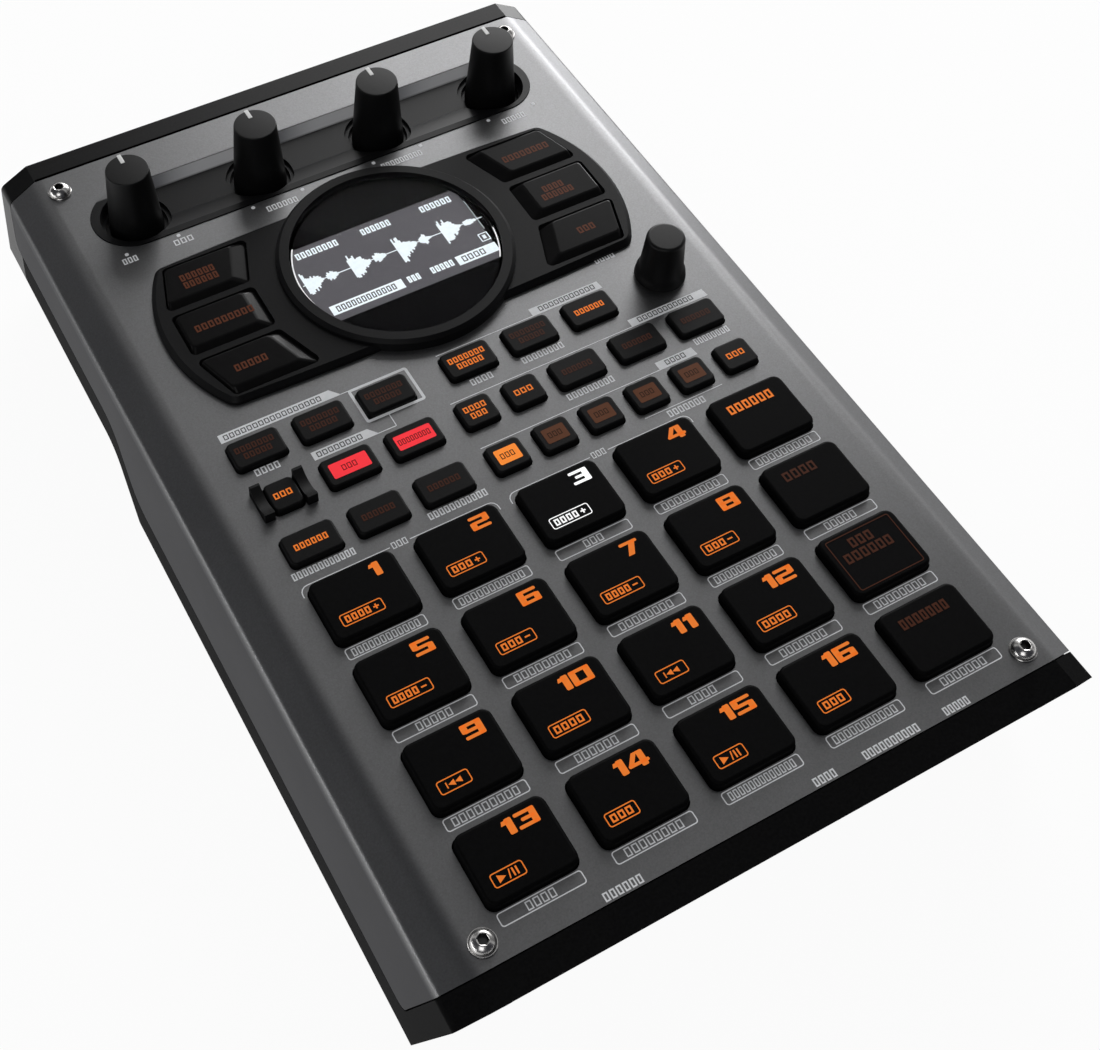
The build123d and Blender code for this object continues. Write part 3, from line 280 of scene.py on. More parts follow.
bend_share = remap(tree, bend_near, bend_start_x, bend_end_x, 0.0, bend_slope)
bend_share.node.interpolation_type = "SMOOTHSTEP"
bend_sign = maths(tree, "SIGN", split["X"])
bend_lean = maths(tree, "MULTIPLY", bend_share, bend_sign)
bend_way = wire(tree, "ShaderNodeCombineXYZ", (bend_lean, None, 1.0))
bend_unit = wire(tree, "ShaderNodeVectorMath", (bend_way.outputs[0],), "NORMALIZE")
bend_flat = tree.nodes.new("ShaderNodeNewGeometry").outputs
bend_up = wire(tree, "ShaderNodeSeparateXYZ", (bend_flat["True Normal"],)).outputs["Z"]
bend_top = maths(tree, "GREATER_THAN", bend_up, level_normal)
bend_zone = maths(tree, "COMPARE", bend_near, bend_middle_x, bend_reach)
bend_both = maths(tree, "MULTIPLY", bend_top, bend_zone)
bend_pick = tree.nodes.new("ShaderNodeMix")
bend_pick.data_type = "VECTOR"
tree.links.new(bend_both, bend_pick.inputs[0])
tree.links.new(bend_flat["Normal"], bend_pick.inputs[4])
tree.links.new(bend_unit.outputs[0], bend_pick.inputs[5])
tree.links.new(bend_pick.outputs[1], tree.nodes["Bump"].inputs["Normal"])
wear_finish(cover_paint, "top_panel")

# The joint behind the cover. The cover's rear edge and the rear moulding meet there, and
# the shadow in the joint is a dark strip that lies flush with both.
deselect()
bpy.ops.mesh.primitive_cube_add(
    size=1, location=(0, 0.1269, 0.05202), scale=(0.1548, 0.0008, 0.00004)
)
rear_joint = settle("rear_joint_line")
joint_dark = finish_like("joint_dark", (0.0008, 0.0008, 0.0008), 0.9, gloss=0.0)
rear_joint.data.materials.append(joint_dark)
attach(rear_joint, "housing")

# The knob trough. One black moulding with a satin face, deep round the knobs. Its rear
# slope is painted grey like the cover, and its rim is left darker.
slope_start_y, slope_end_y = 0.1106, 0.1111
rim_low_z, rim_high_z = 0.05212, 0.05226
rim_share = 0.2
slope_grey = (0.80, 0.80, 0.81, 1)
trough_plastic = finish_like(
    "trough_plastic", (0.006, 0.006, 0.0065), 0.34, grain=1500, bump=0.08, gloss=0.15
)
tree = trough_plastic.node_tree
where = tree.nodes["Texture Coordinate"].outputs["Object"]
split = wire(tree, "ShaderNodeSeparateXYZ", (where,)).outputs
trough_slope = remap(tree, split["Y"], slope_start_y, slope_end_y)
trough_rim = remap(tree, split["Z"], rim_low_z, rim_high_z, 1.0, rim_share)
trough_mask = maths(tree, "MULTIPLY", trough_slope, trough_rim)
trough_black = tree.nodes["Color Ramp"].outputs[0]
trough_pale = wire(tree, "ShaderNodeMixRGB", (trough_mask, trough_black, slope_grey))
shader = tree.nodes["Principled BSDF"]
tree.links.new(trough_pale.outputs[0], shader.inputs["Base Color"])
wear_finish(trough_plastic, "knob_trough")

# The display plate. Dark satin plastic with a fine grain and a raised ring round the
# display, clipped into the cover from above.
plate_plastic = finish_like(
    "plate_plastic", (0.006, 0.006, 0.0065), 0.45, grain=1500, bump=0.1, gloss=0.09
)
wear_finish(plate_plastic, "display_plate")

# The pads. Soft black rubber with a matt face and a round edge, each with a flange that
# is held under the cover. One pad is modelled over the origin and copied to its place.
pad_half_x, pad_half_y = 0.0113, 0.0089
pad_low_z = panel_z - 0.0032
pad_top_z = panel_z + 0.0028
pad_corner = 0.0024
pad_edge = 0.0009
pad_flange_share = (1.1, 1.12, 1)
pad_flange_depth = 0.001
pad_pitch_x, pad_pitch_y = 0.02849, 0.02369
pad_first_y = -0.03995
facing_down = -0.9
tiny = 1e-6


def alone(piece):
    """Selects one piece and nothing else."""
    deselect()
    piece.select_set(True)
    bpy.context.view_layer.objects.active = piece


def start_shaping():
    """Goes into edit mode."""
    bpy.ops.object.mode_set(mode="EDIT")


def stop_shaping():
    """Leaves edit mode."""
    bpy.ops.object.mode_set(mode="OBJECT")


def take_all(kind=None):
    """In edit mode, selects all of a piece, by points or faces if asked."""
    if kind:
        bpy.ops.mesh.select_mode(type=kind)
    bpy.ops.mesh.select_all(action="SELECT")


def extrude_up(height):
    """In edit mode, extrudes what is selected straight up."""
    bpy.ops.mesh.extrude_region_move(TRANSFORM_OT_translate={"value": (0, 0, height)})


def face_outward():
    """In edit mode, turns all faces of a piece outward."""
    take_all()
    bpy.ops.mesh.normals_make_consistent(inside=False)


def round_off(offset, segments, kind="EDGES"):
    """In edit mode, rounds the selected edges or points."""
    bpy.ops.mesh.bevel(offset=offset, segments=segments, affect=kind, clamp_overlap=False)


def pick(piece, kind, test):
    """In edit mode, selects those points, edges or faces that pass a test."""
    bpy.ops.mesh.select_mode(type=kind)
    bpy.ops.mesh.select_all(action="DESELECT")
    shape = bmesh.from_edit_mesh(piece.data)
    for part in {"VERT": shape.verts, "EDGE": shape.edges, "FACE": shape.faces}[kind]:
        part.select_set(test(part))
    shape.select_flush_mode()
    bmesh.update_edit_mesh(piece.data)


def upright(edge):
    """True for an edge that stands straight up."""
    a, b = (point.co for point in edge.verts)
    return abs(a.x - b.x) < tiny and abs(a.y - b.y) < tiny


def bevel_top(piece, top, edge):
    """In edit mode, rounds the edges that lie at a height."""
    pick(piece, "EDGE", lambda line: all(point.co.z > top - tiny for point in line.verts))
    round_off(edge, 4)


def smooth_over(piece, angle=40):
    """Shades a piece smooth up to an angle and lets its large faces set the normals."""
    alone(piece)
    bpy.ops.object.shade_smooth_by_angle(angle=math.radians(angle))
    piece.modifiers.new("even", "WEIGHTED_NORMAL").keep_sharp = True
    bpy.ops.object.modifier_apply(modifier="even")


def moulded_block(name, low, high, corner, edge, paint):
    """A block between two corners with round upright edges and then a round top edge."""
    centre = [(a + b) / 2 for a, b in zip(low, high)]
    size = [b - a for a, b in zip(low, high)]
    deselect()
    bpy.ops.mesh.primitive_cube_add(size=1, location=centre, scale=size)
    piece = settle(name)
    start_shaping()
    pick(piece, "EDGE", upright)
    round_off(corner, 6)
    bevel_top(piece, high[2], edge)
    stop_shaping()
    piece.data.materials.append(paint)
    return piece


def copy_to(model, name, x, y):
    """A copy of a piece with its own mesh, moved over the panel."""
    piece = model.copy()
    piece.data = model.data.copy()
    bpy.context.scene.collection.objects.link(piece)
    alone(piece)
    piece.location = (x, y, 0)
    return settle(name)


def join_as(name, parts):
    """Joins several parts into one piece."""
    deselect()
    for part in parts:
        part.select_set(True)
    bpy.context.view_layer.objects.active = parts[0]
    bpy.ops.object.join()
    parts[0].name = name
    return parts[0]


pad_rubber = finish_like(
    "pad_rubber", (0.0028, 0.0028, 0.003), 0.6, spread=0.25, grain=1100, bump=0.1, gloss=0.035
)
low = (-pad_half_x, -pad_half_y, pad_low_z)
high = (pad_half_x, pad_half_y, pad_top_z)
pad_model = moulded_block("pad_model", low, high, pad_corner, pad_edge, pad_rubber)
alone(pad_model)
start_shaping()
pick(pad_model, "FACE", lambda face: face.normal.z < facing_down)
bpy.ops.mesh.extrude_region_move()
bpy.ops.transform.resize(value=pad_flange_share, center_override=(0, 0, pad_low_z))
extrude_up(-pad_flange_depth)
stop_shaping()
smooth_over(pad_model)
pads = {}
for row in range(4):
    for column in range(5):
        x = (column - 2) * pad_pitch_x
        y = pad_first_y - row * pad_pitch_y
        name = f"pad_{row * 4 + column + 1:02d}" if column < 4 else f"side_pad_{row + 1}"
        pad = copy_to(pad_model, f"{name}_rubber", x, y)
        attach(pad, name)
        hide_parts(name)
        pads[name] = (x, y)
bpy.data.objects.remove(pad_model)

# The pads' prints. Orange numbers and outlined signs shine through each pad's face. The
# third pad shines white, and the pads of the last column glow dimly.
lift = 0.00002
print_z = pad_top_z + lift
orange = (1.0, 0.24, 0.03)
digit_width = 0.0053
digit_height = 0.0039
one_width = 0.0028
digit_gap = 0.0004
upright_stroke = 0.0016
level_stroke = 0.00082
capsule_left, capsule_y = -0.0082, -0.00405
capsule_depth = 0.0034
capsule_corner, capsule_line = 0.0007, 0.00026
capsule_widths = [0.0111, 0.0099] * 4 + [0.0079, 0.0099] * 2 + [0.0079] * 4
sign_inset, sign_long, sign_line = 0.0020, 0.0014, 0.0004
number_y, number_right, first_right = 0.0031, 0.0081, 0.0067
letter_share = 0.76


def lit(name, colour, glow, strength, gloss=0.08):
    """A mark's own colour and its glow: light shining from behind it, or else painted light."""
    paint = bpy.data.materials.new(name)
    paint.use_nodes = True
    tree = paint.node_tree
    shader = tree.nodes["Principled BSDF"]
    shader.inputs["Roughness"].default_value = 0.5
    shader.inputs["Specular IOR Level"].default_value = gloss
    shader.inputs["Emission Strength"].default_value = strength
    where = tree.nodes.new("ShaderNodeTexCoord").outputs["Object"]
    mottle = wire(tree, "ShaderNodeTexNoise", (where, None, 900.0)).outputs["Fac"]
    for socket, tone in (("Base Color", colour), ("Emission Color", glow)):
        stops = [(0.0, [c * 0.9 for c in tone]), (1.0, [c * 1.1 for c in tone])]
        tree.links.new(colour_ramp(tree, mottle, stops), shader.inputs[socket])
    return paint


def flat_patch(name, x, y, z, width, depth):
    """A flat four-sided patch, left in edit mode with all of it selected."""
    deselect()
    bpy.ops.mesh.primitive_plane_add(size=1, location=(x, y, z))
    bpy.context.object.scale = (width, depth, 1)
    piece = settle(name)
    start_shaping()
    take_all()
    return piece


def cut_off(place, way, fill=False):
    """In edit mode, cuts off all of a piece that lies beyond a plane."""
    take_all()
    bpy.ops.mesh.bisect(plane_co=place, plane_no=way, clear_outer=True, use_fill=fill)


def thicken_print(piece, paint, thickness=0.00002):
    """Gives a flat print its hair of thickness and its ink."""
    take_all("FACE")
    extrude_up(thickness)
    face_outward()
    stop_shaping()
    piece.data.materials.append(paint)
    return piece


def printed_bar(name, x, y, z, width, depth, corner, paint, lean=0.0, slant=0.0):
    """A flat bar. Lean moves its far edge sideways, slant only that edge's right end."""
    piece = flat_patch(name, x, y, z, width, depth)
    if lean or slant:
        pick(piece, "VERT", lambda point: point.co.y > y and (lean != 0 or point.co.x > x))
        bpy.ops.transform.translate(value=(lean + slant, 0, 0))
    if corner:
        take_all("VERT")
        round_off(corner, 3, "VERTICES")
    return thicken_print(piece, paint)


def printed_frame(name, x, y, z, width, depth, corner, line, paint, above=None, gap=None):
    """A flat outline of a rounded box. It may be cut off below a line or broken by a gap."""
    piece = flat_patch(name, x, y, z, width, depth)
    take_all("VERT")
    round_off(corner, 4, "VERTICES")
    take_all("FACE")
    bpy.ops.mesh.inset(thickness=line, depth=0)
    bpy.ops.mesh.delete(type="FACE")
    if above is not None:
        cut_off((0, above, z), (0, -1, 0))
    if gap is not None:
        for side_x in gap:
            take_all()
            bpy.ops.mesh.bisect(plane_co=(side_x, 0, z), plane_no=(1, 0, 0))
        pick(piece, "FACE", lambda face: gap[0] < face.calc_center_median().x < gap[1])
        bpy.ops.mesh.delete(type="FACE")
    return thicken_print(piece, paint)


def printed_word(left, right, y, z, height, letters, line, paint):
    """A stand-in for a short word: a row of small open boxes between two ends."""
    pitch = (right - left) / letters
    width = pitch * letter_share
    piece = flat_patch("word", left + width / 2, y, z, width, height)
    take_all("FACE")
    bpy.ops.mesh.inset(thickness=line, depth=0)
    bpy.ops.mesh.delete(type="FACE")
    stop_shaping()
    row = piece.modifiers.new("row", "ARRAY")
    row.count = letters
    row.use_relative_offset = False
    row.use_constant_offset = True
    row.constant_offset_displace = (pitch, 0, 0)
    alone(piece)
    bpy.ops.object.modifier_apply(modifier="row")
    start_shaping()
    return thicken_print(piece, paint)


def printed_arrow(x, y, z, width, depth, paint):
    """A small flat arrow head along X, or back along it if its width is negative."""
    piece = flat_patch("arrow", x, y, z, abs(width), depth)
    pick(piece, "VERT", lambda point: (point.co.x > x) == (width > 0))
    bpy.ops.transform.resize(value=(1, 0.02, 1), center_override=(x, y, z))
    return thicken_print(piece, paint)


def digit_shape(digit, z, paint):
    """A wide, square-shouldered numeral. A stroke is its ends in X, in Y, and its lean."""
    across, tall, thick, thin = digit_width, digit_height, upright_stroke, level_stroke
    half = tall / 2
    inner = across - thick
    middle_low, middle_high = half - thin / 2, half + thin / 2
    full_left = (0, thick, 0, tall, 0)
    full_right = (inner, across, 0, tall, 0)
    top = (0.0002, across - 0.0002, tall - thin, tall, 0)
    middle = (0.0005, across - 0.0005, middle_low, middle_high, 0)
    short_middle = (0.0014, across - 0.0005, middle_low, middle_high, 0)
    bottom = (0.0002, across - 0.0002, 0, thin, 0)
    upper_left = (0, thick, half - 0.0003, tall, 0)
    lower_left = (0, thick, 0, half + 0.0003, 0)
    upper_right = (inner, across, half - 0.0003, tall, 0)
    lower_right = (inner, across, 0, half + 0.0003, 0)
    cross = (0, across, 0.0007, 0.0007 + thin, 0)
    stem = (inner - 0.0006, across - 0.0006, 0, tall, 0)
    slope = (0.0, 0.0014, 0.0012, tall, 0.0021)
    leg = (0.0011, 0.0028, 0, tall, 0)
    flag = (0, 0.0015, tall - 0.0013, tall - 0.0003, 0.0004)
    falling = (0.0010, 0.0027, 0, tall - 0.0003, 0.0019)
    strokes = {
        "0": (full_left, full_right, top, bottom),
        "1": (leg, flag),
        "2": (top, upper_right, middle, lower_left, bottom),
        "3": (top, full_right, short_middle, bottom),
        "4": (stem, cross, slope),
        "5": (top, upper_left, middle, lower_right, bottom),
        "6": (full_left, top, middle, bottom, lower_right),
        "7": (top, falling),
        "8": (full_left, full_right, top, middle, bottom),
        "9": (full_right, top, middle, bottom, upper_left),
    }[digit]
    parts = []
    for low_x, high_x, low_y, high_y, lean in strokes:
        x, y = (low_x + high_x) / 2, (low_y + high_y) / 2
        corner = 0.0001 if lean else 0.00035
        width, depth = high_x - low_x, high_y - low_y
        parts.append(printed_bar("stroke", x, y, z, width, depth, corner, paint, lean))
    return join_as(f"digit_{digit}", parts)


def printed_number(number, right, low, models):
    """A number set from copies of the digits, its right edge and its foot at a place."""
    widths = [one_width if digit == "1" else digit_width for digit in number]
    left = right - sum(widths) - digit_gap * (len(number) - 1)
    parts = []
    for digit, width in zip(number, widths):
        parts.append(copy_to(models[digit], "number", left, low))
        left += width + digit_gap
    return parts


def capsule_marks(number, left, y, width, paint):
    """The signs inside a pad's outline: a transport sign, or a word and perhaps a sign."""

    def bar(offset, across, along, lean=0.0):
        return printed_bar("bar", left + offset, y, print_z, across, along, 0, paint, lean)

    def arrow(offset, across, along):
        return printed_arrow(left + offset, y, print_z, across, along, paint)

    if number in (9, 11):
        return [
            bar(0.0021, 0.0003, 0.0015),
            arrow(0.0033, -0.0016, 0.0015),
            arrow(0.0050, -0.0016, 0.0015),
        ]
    if number in (13, 15):
        return [
            arrow(0.0024, 0.0019, 0.0019),
            bar(0.0040, 0.0003, 0.0021, 0.0005),
            bar(0.0052, 0.0004, 0.0019),
            bar(0.0061, 0.0004, 0.0019),
        ]
    signed = number <= 8
    letters = 4 if number in (1, 3, 5, 7, 10, 12) else 3
    end = left + width - (0.0031 if signed else 0.0009)
    word = (print_z, 0.0019, letters, 0.00042)
    marks = [printed_word(left + 0.0011, end, y, *word, paint)]
    if signed:
        marks.append(bar(width - sign_inset, sign_long, sign_line))
    if number < 5:
        marks.append(bar(width - sign_inset, sign_line, sign_long))
    return marks


pad_glow = lit("pad_glow", (0.25, 0.06, 0.01), orange, 0.62)
pad_white = lit("pad_white", (0.5, 0.5, 0.5), (1.0, 1.0, 1.0), 0.7)
pad_dim = lit("pad_dim", (0.035, 0.012, 0.006), (1.0, 0.25, 0.10), 0.025)
digits = {digit: digit_shape(digit, print_z, pad_glow) for digit in "0123456789"}
for number, width in enumerate(capsule_widths, 1):
    node = f"pad_{number:02d}"
    x, y = pads[node]
    paint = pad_white if number == 3 else pad_glow
    left, middle = x + capsule_left, y + capsule_y
    right = x + (first_right if number == 1 else number_right)
    marks = printed_number(str(number), right, y + number_y, digits)
    size = (width, capsule_depth, capsule_corner, capsule_line)
    marks.append(printed_frame("capsule", left + width / 2, middle, print_z, *size, paint))
    marks += capsule_marks(number, left, middle, width, paint)
    printed = join_as(f"{node}_print", marks)
    if number == 3:
        printed.data.materials.clear()
        printed.data.materials.append(pad_white)
        for face in printed.data.polygons:
            face.material_index = 0
    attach(printed, node)
for digit in digits.values():
    bpy.data.objects.remove(digit)
side_words = (
    ((-0.0072, 0.0067, 0.0042, 6),),
    ((-0.0068, 0.0032, 0.0042, 4),),
    ((-0.0040, 0.0031, 0.0046, 3), (-0.0077, 0.0066, 0.0012, 6)),
    ((-0.0072, 0.0068, 0.0042, 7),),
)
for row, words in enumerate(side_words):
    node = f"side_pad_{row + 1}"
    x, y = pads[node]
    paint = pad_dim if row else pad_glow
    marks = []
    for left, right, dy, letters in words:
        size = (print_z, 0.0027, letters, 0.00055)
        marks.append(printed_word(x + left, x + right, y + dy, *size, paint))
    if row == 2:
        size = (print_z, 0.0190, 0.0150, 0.0006, 0.00025)
        marks.append(printed_frame("square", x, y, *size, paint))
    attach(join_as(f"{node}_print", marks), node)

# The small keys. Black rubber caps in six rows, each row one moulding with a web under
# the cover. Their windows and legends are lit from below.
key_rubber = finish_like(
    "key_rubber", (0.0035, 0.0035, 0.0037), 0.55, spread=0.25, grain=1200, bump=0.1, gloss=0.1
)
key_dim = lit("key_dim", (0.030, 0.011, 0.006), (1.0, 0.25, 0.10), 0.022)
key_red = lit("key_red", (0.30, 0.012, 0.016), (1.0, 0.040, 0.055), 0.72)
key_red_ink = lit("key_red_ink", (0.03, 0.004, 0.004), (1.0, 0.02, 0.02), 0.10)
key_amber = lit("key_amber", (0.30, 0.09, 0.012), (1.0, 0.27, 0.035), 0.75)
key_amber_low = lit("key_amber_low", (0.045, 0.018, 0.009), (1.0, 0.34, 0.14), 0.055)
key_ink = lit("key_ink", (0.008, 0.004, 0.002), (1.0, 0.3, 0.05), 0.012)
key_half_depth = 0.00445
key_top_z = panel_z + 0.0018
key_low_z = panel_z - 0.0032
key_print_z = key_top_z + lift
key_corner = 0.0016
key_edge = 0.0007
key_letter = 0.00165
web_margin = 0.0011
web_depth = 0.001
web_corner, web_edge = 0.0010, 0.0002
wide, square, guarded = 0.0141, 0.0099, 0.0082
left_x = (-0.0613, -0.0430, -0.0247)
rear_x = (-0.00025, 0.0184, 0.03705)
middle_x = (-0.0065, 0.0074, 0.0236, 0.04225, 0.0609)
small_x = [-0.0065 + 0.0139 * i for i in range(6)]
row_y = (0.01135, -0.0044, -0.02015)
key_widths = {"w": wide, "s": square, "g": guarded}
key_rows = {
    "keys_left_rear": (0, left_x, "www", ("dim", "dim", "dim")),
    "keys_left_middle": (1, left_x, "gww", ("glow", "red", "red")),
    "keys_left_front": (2, left_x, "www", ("glow", "faint", "faint")),
    "keys_right_rear": (0, rear_x, "www", ("glow_two", "dim", "glow")),
    "keys_right_middle": (1, middle_x, "sswww", ("glow_two", "glow", "faint", "faint", "faint")),
    "keys_right_front": (2, small_x, "ssssss", ("amber", *["amber_low"] * 4, "glow")),
}
windows = {
    "red": (key_red, key_red_ink, 0.0104),
    "amber": (key_amber, key_ink, 0.0064),
    "amber_low": (key_amber_low, key_ink, 0.0064),
}


def window_marks(x, y, look):
    """A lit window and the dark word in it."""
    paint, ink, width = windows[look]
    long_word = look == "red" and x > -0.03
    letters = 8 if long_word else 3
    half = (0.0092 if long_word else 0.0044 if look == "red" else 0.0042) / 2
    word = (key_print_z + lift, 0.0017, letters, 0.00024)
    return [
        printed_bar("window", x, y, key_print_z, width, 0.0046, 0.0004, paint),
        printed_word(x - half, x + half, y, *word, ink),
    ]


def legend_marks(x, y, width, look):
    """A key's legend in one line or two."""
    paint = pad_glow if look.startswith("glow") else key_dim
    lines = ((0.0012, 1.0), (-0.0012, 0.72)) if look in ("glow_two", "dim") else ((0.0, 0.84),)
    full = width - (0.0032 if width > guarded else 0.0020)
    marks = []
    for dy, share in lines:
        half = full * share / 2
        word = (key_print_z, 0.0018, max(3, round(2 * half / key_letter)), 0.00036)
        marks.append(printed_word(x - half, x + half, y + dy, *word, paint))
    return marks


for node, (row, places, kinds, looks) in key_rows.items():
    y = row_y[row]
    caps = []
    marks = []
    for x, kind, look in zip(places, kinds, looks):
        width = key_widths[kind]
        low = (x - width / 2, y - key_half_depth, key_low_z)
        high = (x + width / 2, y + key_half_depth, key_top_z)
        cap = moulded_block("key_cap", low, high, key_corner, key_edge, key_rubber)
        smooth_over(cap)
        caps.append(cap)
        marks += window_marks(x, y, look) if look in windows else legend_marks(x, y, width, look)
    left = places[0] - key_widths[kinds[0]] / 2 - web_margin
    right = places[-1] + key_widths[kinds[-1]] / 2 + web_margin
    low = (left, y - key_half_depth - web_margin, key_low_z - web_depth)
    high = (right, y + key_half_depth + web_margin, key_low_z)
    caps.append(moulded_block("key_web", low, high, web_corner, web_edge, key_rubber))
    strip = join_as(f"{node}_rubber", caps)
    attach(strip, node)
    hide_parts(node)
    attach(join_as(f"{node}_print", marks), node)

# The cover's screws. Turned steel button heads on small washers, each with a hexagon socket
# whose inside is painted dark as painted shade. One is modelled over the origin and copied to
# the four corners.
panel_steel = finish_like("panel_steel", (0.52, 0.51, 0.50), 0.26, metallic=1.0, spread=0.05)
# Painted shade: a dark steel for the socket's faces, standing for the shade inside it.
screw_socket_painted_shade = finish_like("screw_socket_painted_shade", (0.09, 0.09, 0.09), 0.4, metallic=1.0)
shank = [(0.0014, -0.0085), (0.0014, 0.0)]
washer = [(0.0032, 0.0), (0.0033, 0.0001), (0.0033, 0.0004), (0.0032, 0.0005)]
head = [(0.0028, 0.0005), (0.0030, 0.0008), (0.0028, 0.0013), (0.0023, 0.0019)]
crown = [(0.0017, 0.0023), (0.0015, 0.0024), (0.0002, 0.0024)]
socket_radius = 0.00132
socket_depth = 0.0026


def stacked_rings(name, x, y, base_z, steps, paint, segments=64):
    """A round piece raised ring by ring: each step is a radius and a height over a base."""
    deselect()
    radius, rise = steps[0]
    z = base_z + rise
    bpy.ops.mesh.primitive_circle_add(
        vertices=segments, radius=radius, fill_type="NGON", location=(x, y, z)
    )
    piece = settle(name)
    start_shaping()
    take_all("FACE")
    for next_radius, rise in steps[1:]:
        next_z = base_z + rise
        extrude_up(next_z - z)
        share = next_radius / radius
        bpy.ops.transform.resize(value=(share, share, 1), center_override=(x, y, next_z))
        radius, z = next_radius, next_z
    face_outward()
    stop_shaping()
    piece.data.materials.append(paint)
    smooth_over(piece)
    return piece


screw_model = stacked_rings(
    "screw_model", 0, 0, panel_z, shank + washer + head + crown, panel_steel
)
deselect()
bpy.ops.mesh.primitive_cylinder_add(
    vertices=6, radius=socket_radius, depth=socket_depth, location=(0, 0, panel_z + 0.0024)
)
hexagon = settle("hexagon")
hexagon.data.materials.append(screw_socket_painted_shade)
alone(screw_model)
socket_cut = screw_model.modifiers.new("socket", "BOOLEAN")
socket_cut.operation = "DIFFERENCE"
socket_cut.solver = "EXACT"
socket_cut.material_mode = "TRANSFER"
socket_cut.object = hexagon
bpy.ops.object.modifier_apply(modifier="socket")
bpy.data.objects.remove(hexagon)
smooth_over(screw_model)
corners = [(x, y) for x in (-0.0727, 0.0727) for y in (-0.1245, 0.1194)]
heads = [copy_to(screw_model, "screw_head", x, y) for x, y in corners]
screws = join_as("panel_screws_heads", heads)
bpy.data.objects.remove(screw_model)
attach(screws, "housing")
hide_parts("panel_screws")

# The knobs. Tapered black knobs with a soft satin coat, a flat cap with a round rim and
# a white pointer let into the cap, each pushed on to its steel shaft.
knob_coat = finish_like(
    "knob_coat", (0.004, 0.004, 0.0042), 0.42, spread=0.2, grain=1600, bump=0.06, gloss=0.18
)
pointer_white = finish_like("pointer_white", (0.80, 0.80, 0.79), 0.5, spread=0.05)
knob_y = 0.101
knob_pitch = 0.0382
knob_foot_z = 0.0478
knob_top = 0.07035
knob_foot = [(0.0052, 0.0), (0.0074, 0.0), (0.0077, 0.0003)]
knob_rim = [(0.0060, -0.0004), (0.0059, -0.00015), (0.0057, 0.0), (0.0003, 0.0)]
knob_rim = [(radius, knob_top - knob_foot_z + rise) for radius, rise in knob_rim]
shaft_steps = [(0.0030, -0.0023), (0.0030, 0.0)]
pointer_half = 0.00058
pointer_start, pointer_end = 0.0027, 0.0062
pointer_low_z, pointer_high_z = knob_top - 0.0010, knob_top + 0.0001
for number in range(4):
    node = f"control_knob_{number + 1}"
    x = (number - 1.5) * knob_pitch
    knob = stacked_rings(
        f"{node}_cap", x, knob_y, knob_foot_z, knob_foot + knob_rim, knob_coat, 96
    )
    shaft = stacked_rings(f"{node}_shaft", x, knob_y, knob_foot_z, shaft_steps, pot_metal, 32)
    low = (x - pointer_half, knob_y + pointer_start, pointer_low_z)
    high = (x + pointer_half, knob_y + pointer_end, pointer_high_z)
    pointer = moulded_block(f"{node}_pointer", low, high, 0.0002, 0.00008, pointer_white)
    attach(knob, node)
    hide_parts(node)
    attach(shaft, node)
    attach(pointer, node)
wear_finish(knob_coat, "gain_knob")

# The push encoder. A shorter knob with a collar at its foot and the same satin coat,
# pushed on to a sprung shaft.
encoder_foot_z = panel_z + 0.0008
encoder_collar = [(0.0028, 0.0), (0.0069, 0.0), (0.0071, 0.0003), (0.0068, 0.0023)]
encoder_taper = [(0.0061, 0.0033), (0.0053, 0.0142), (0.0051, 0.0147)]
encoder_crown = [(0.0047, 0.01495), (0.0043, 0.0150), (0.0003, 0.0150)]
encoder_steps = encoder_collar + encoder_taper + encoder_crown
encoder_place = (0.0611, 0.0135, encoder_foot_z)
encoder_cap = stacked_rings("encoder_knob_cap", *encoder_place, encoder_steps, knob_coat, 96)
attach(encoder_cap, "encoder_knob")
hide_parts("encoder_knob")

# The effect keys. Smoked glossy caps with wide facets: the one beside the ring is broad,
# the one towards the player is steep. A dim legend shows through each.
smoked_gloss = finish_like(
    "smoked_gloss", (0.0085, 0.0083, 0.0085), 0.22, spread=0.1, grain=400, gloss=0.05
)
effect_dim = lit("effect_dim", (0.055, 0.018, 0.008), (1.0, 0.25, 0.09), 0.045)
plate_y = 0.0528
effect_pitch = 0.0168
effect_half_depth = 0.0071
effect_low_z = panel_z
effect_wall = 0.0012
effect_facet = 0.0017
least_rise = 0.001
effect_top_z = effect_low_z + effect_wall + effect_facet
effect_print_z = effect_top_z + lift
effect_top_share = 0.81
effect_top_x, effect_top_y = 0.0590, 0.0035
effect_side_round, effect_top_round = 0.0011, 0.0005
effect_wide_x = (0.0400, 0.0635)
effect_narrow_x = (0.0347, 0.0589)
word_middle_x = 0.0512
line_pitch = 0.0028
effect_words = {1: (6, 6), 2: (9,), 3: (5,), 4: (8,), 5: (4, 6), 6: (3,)}
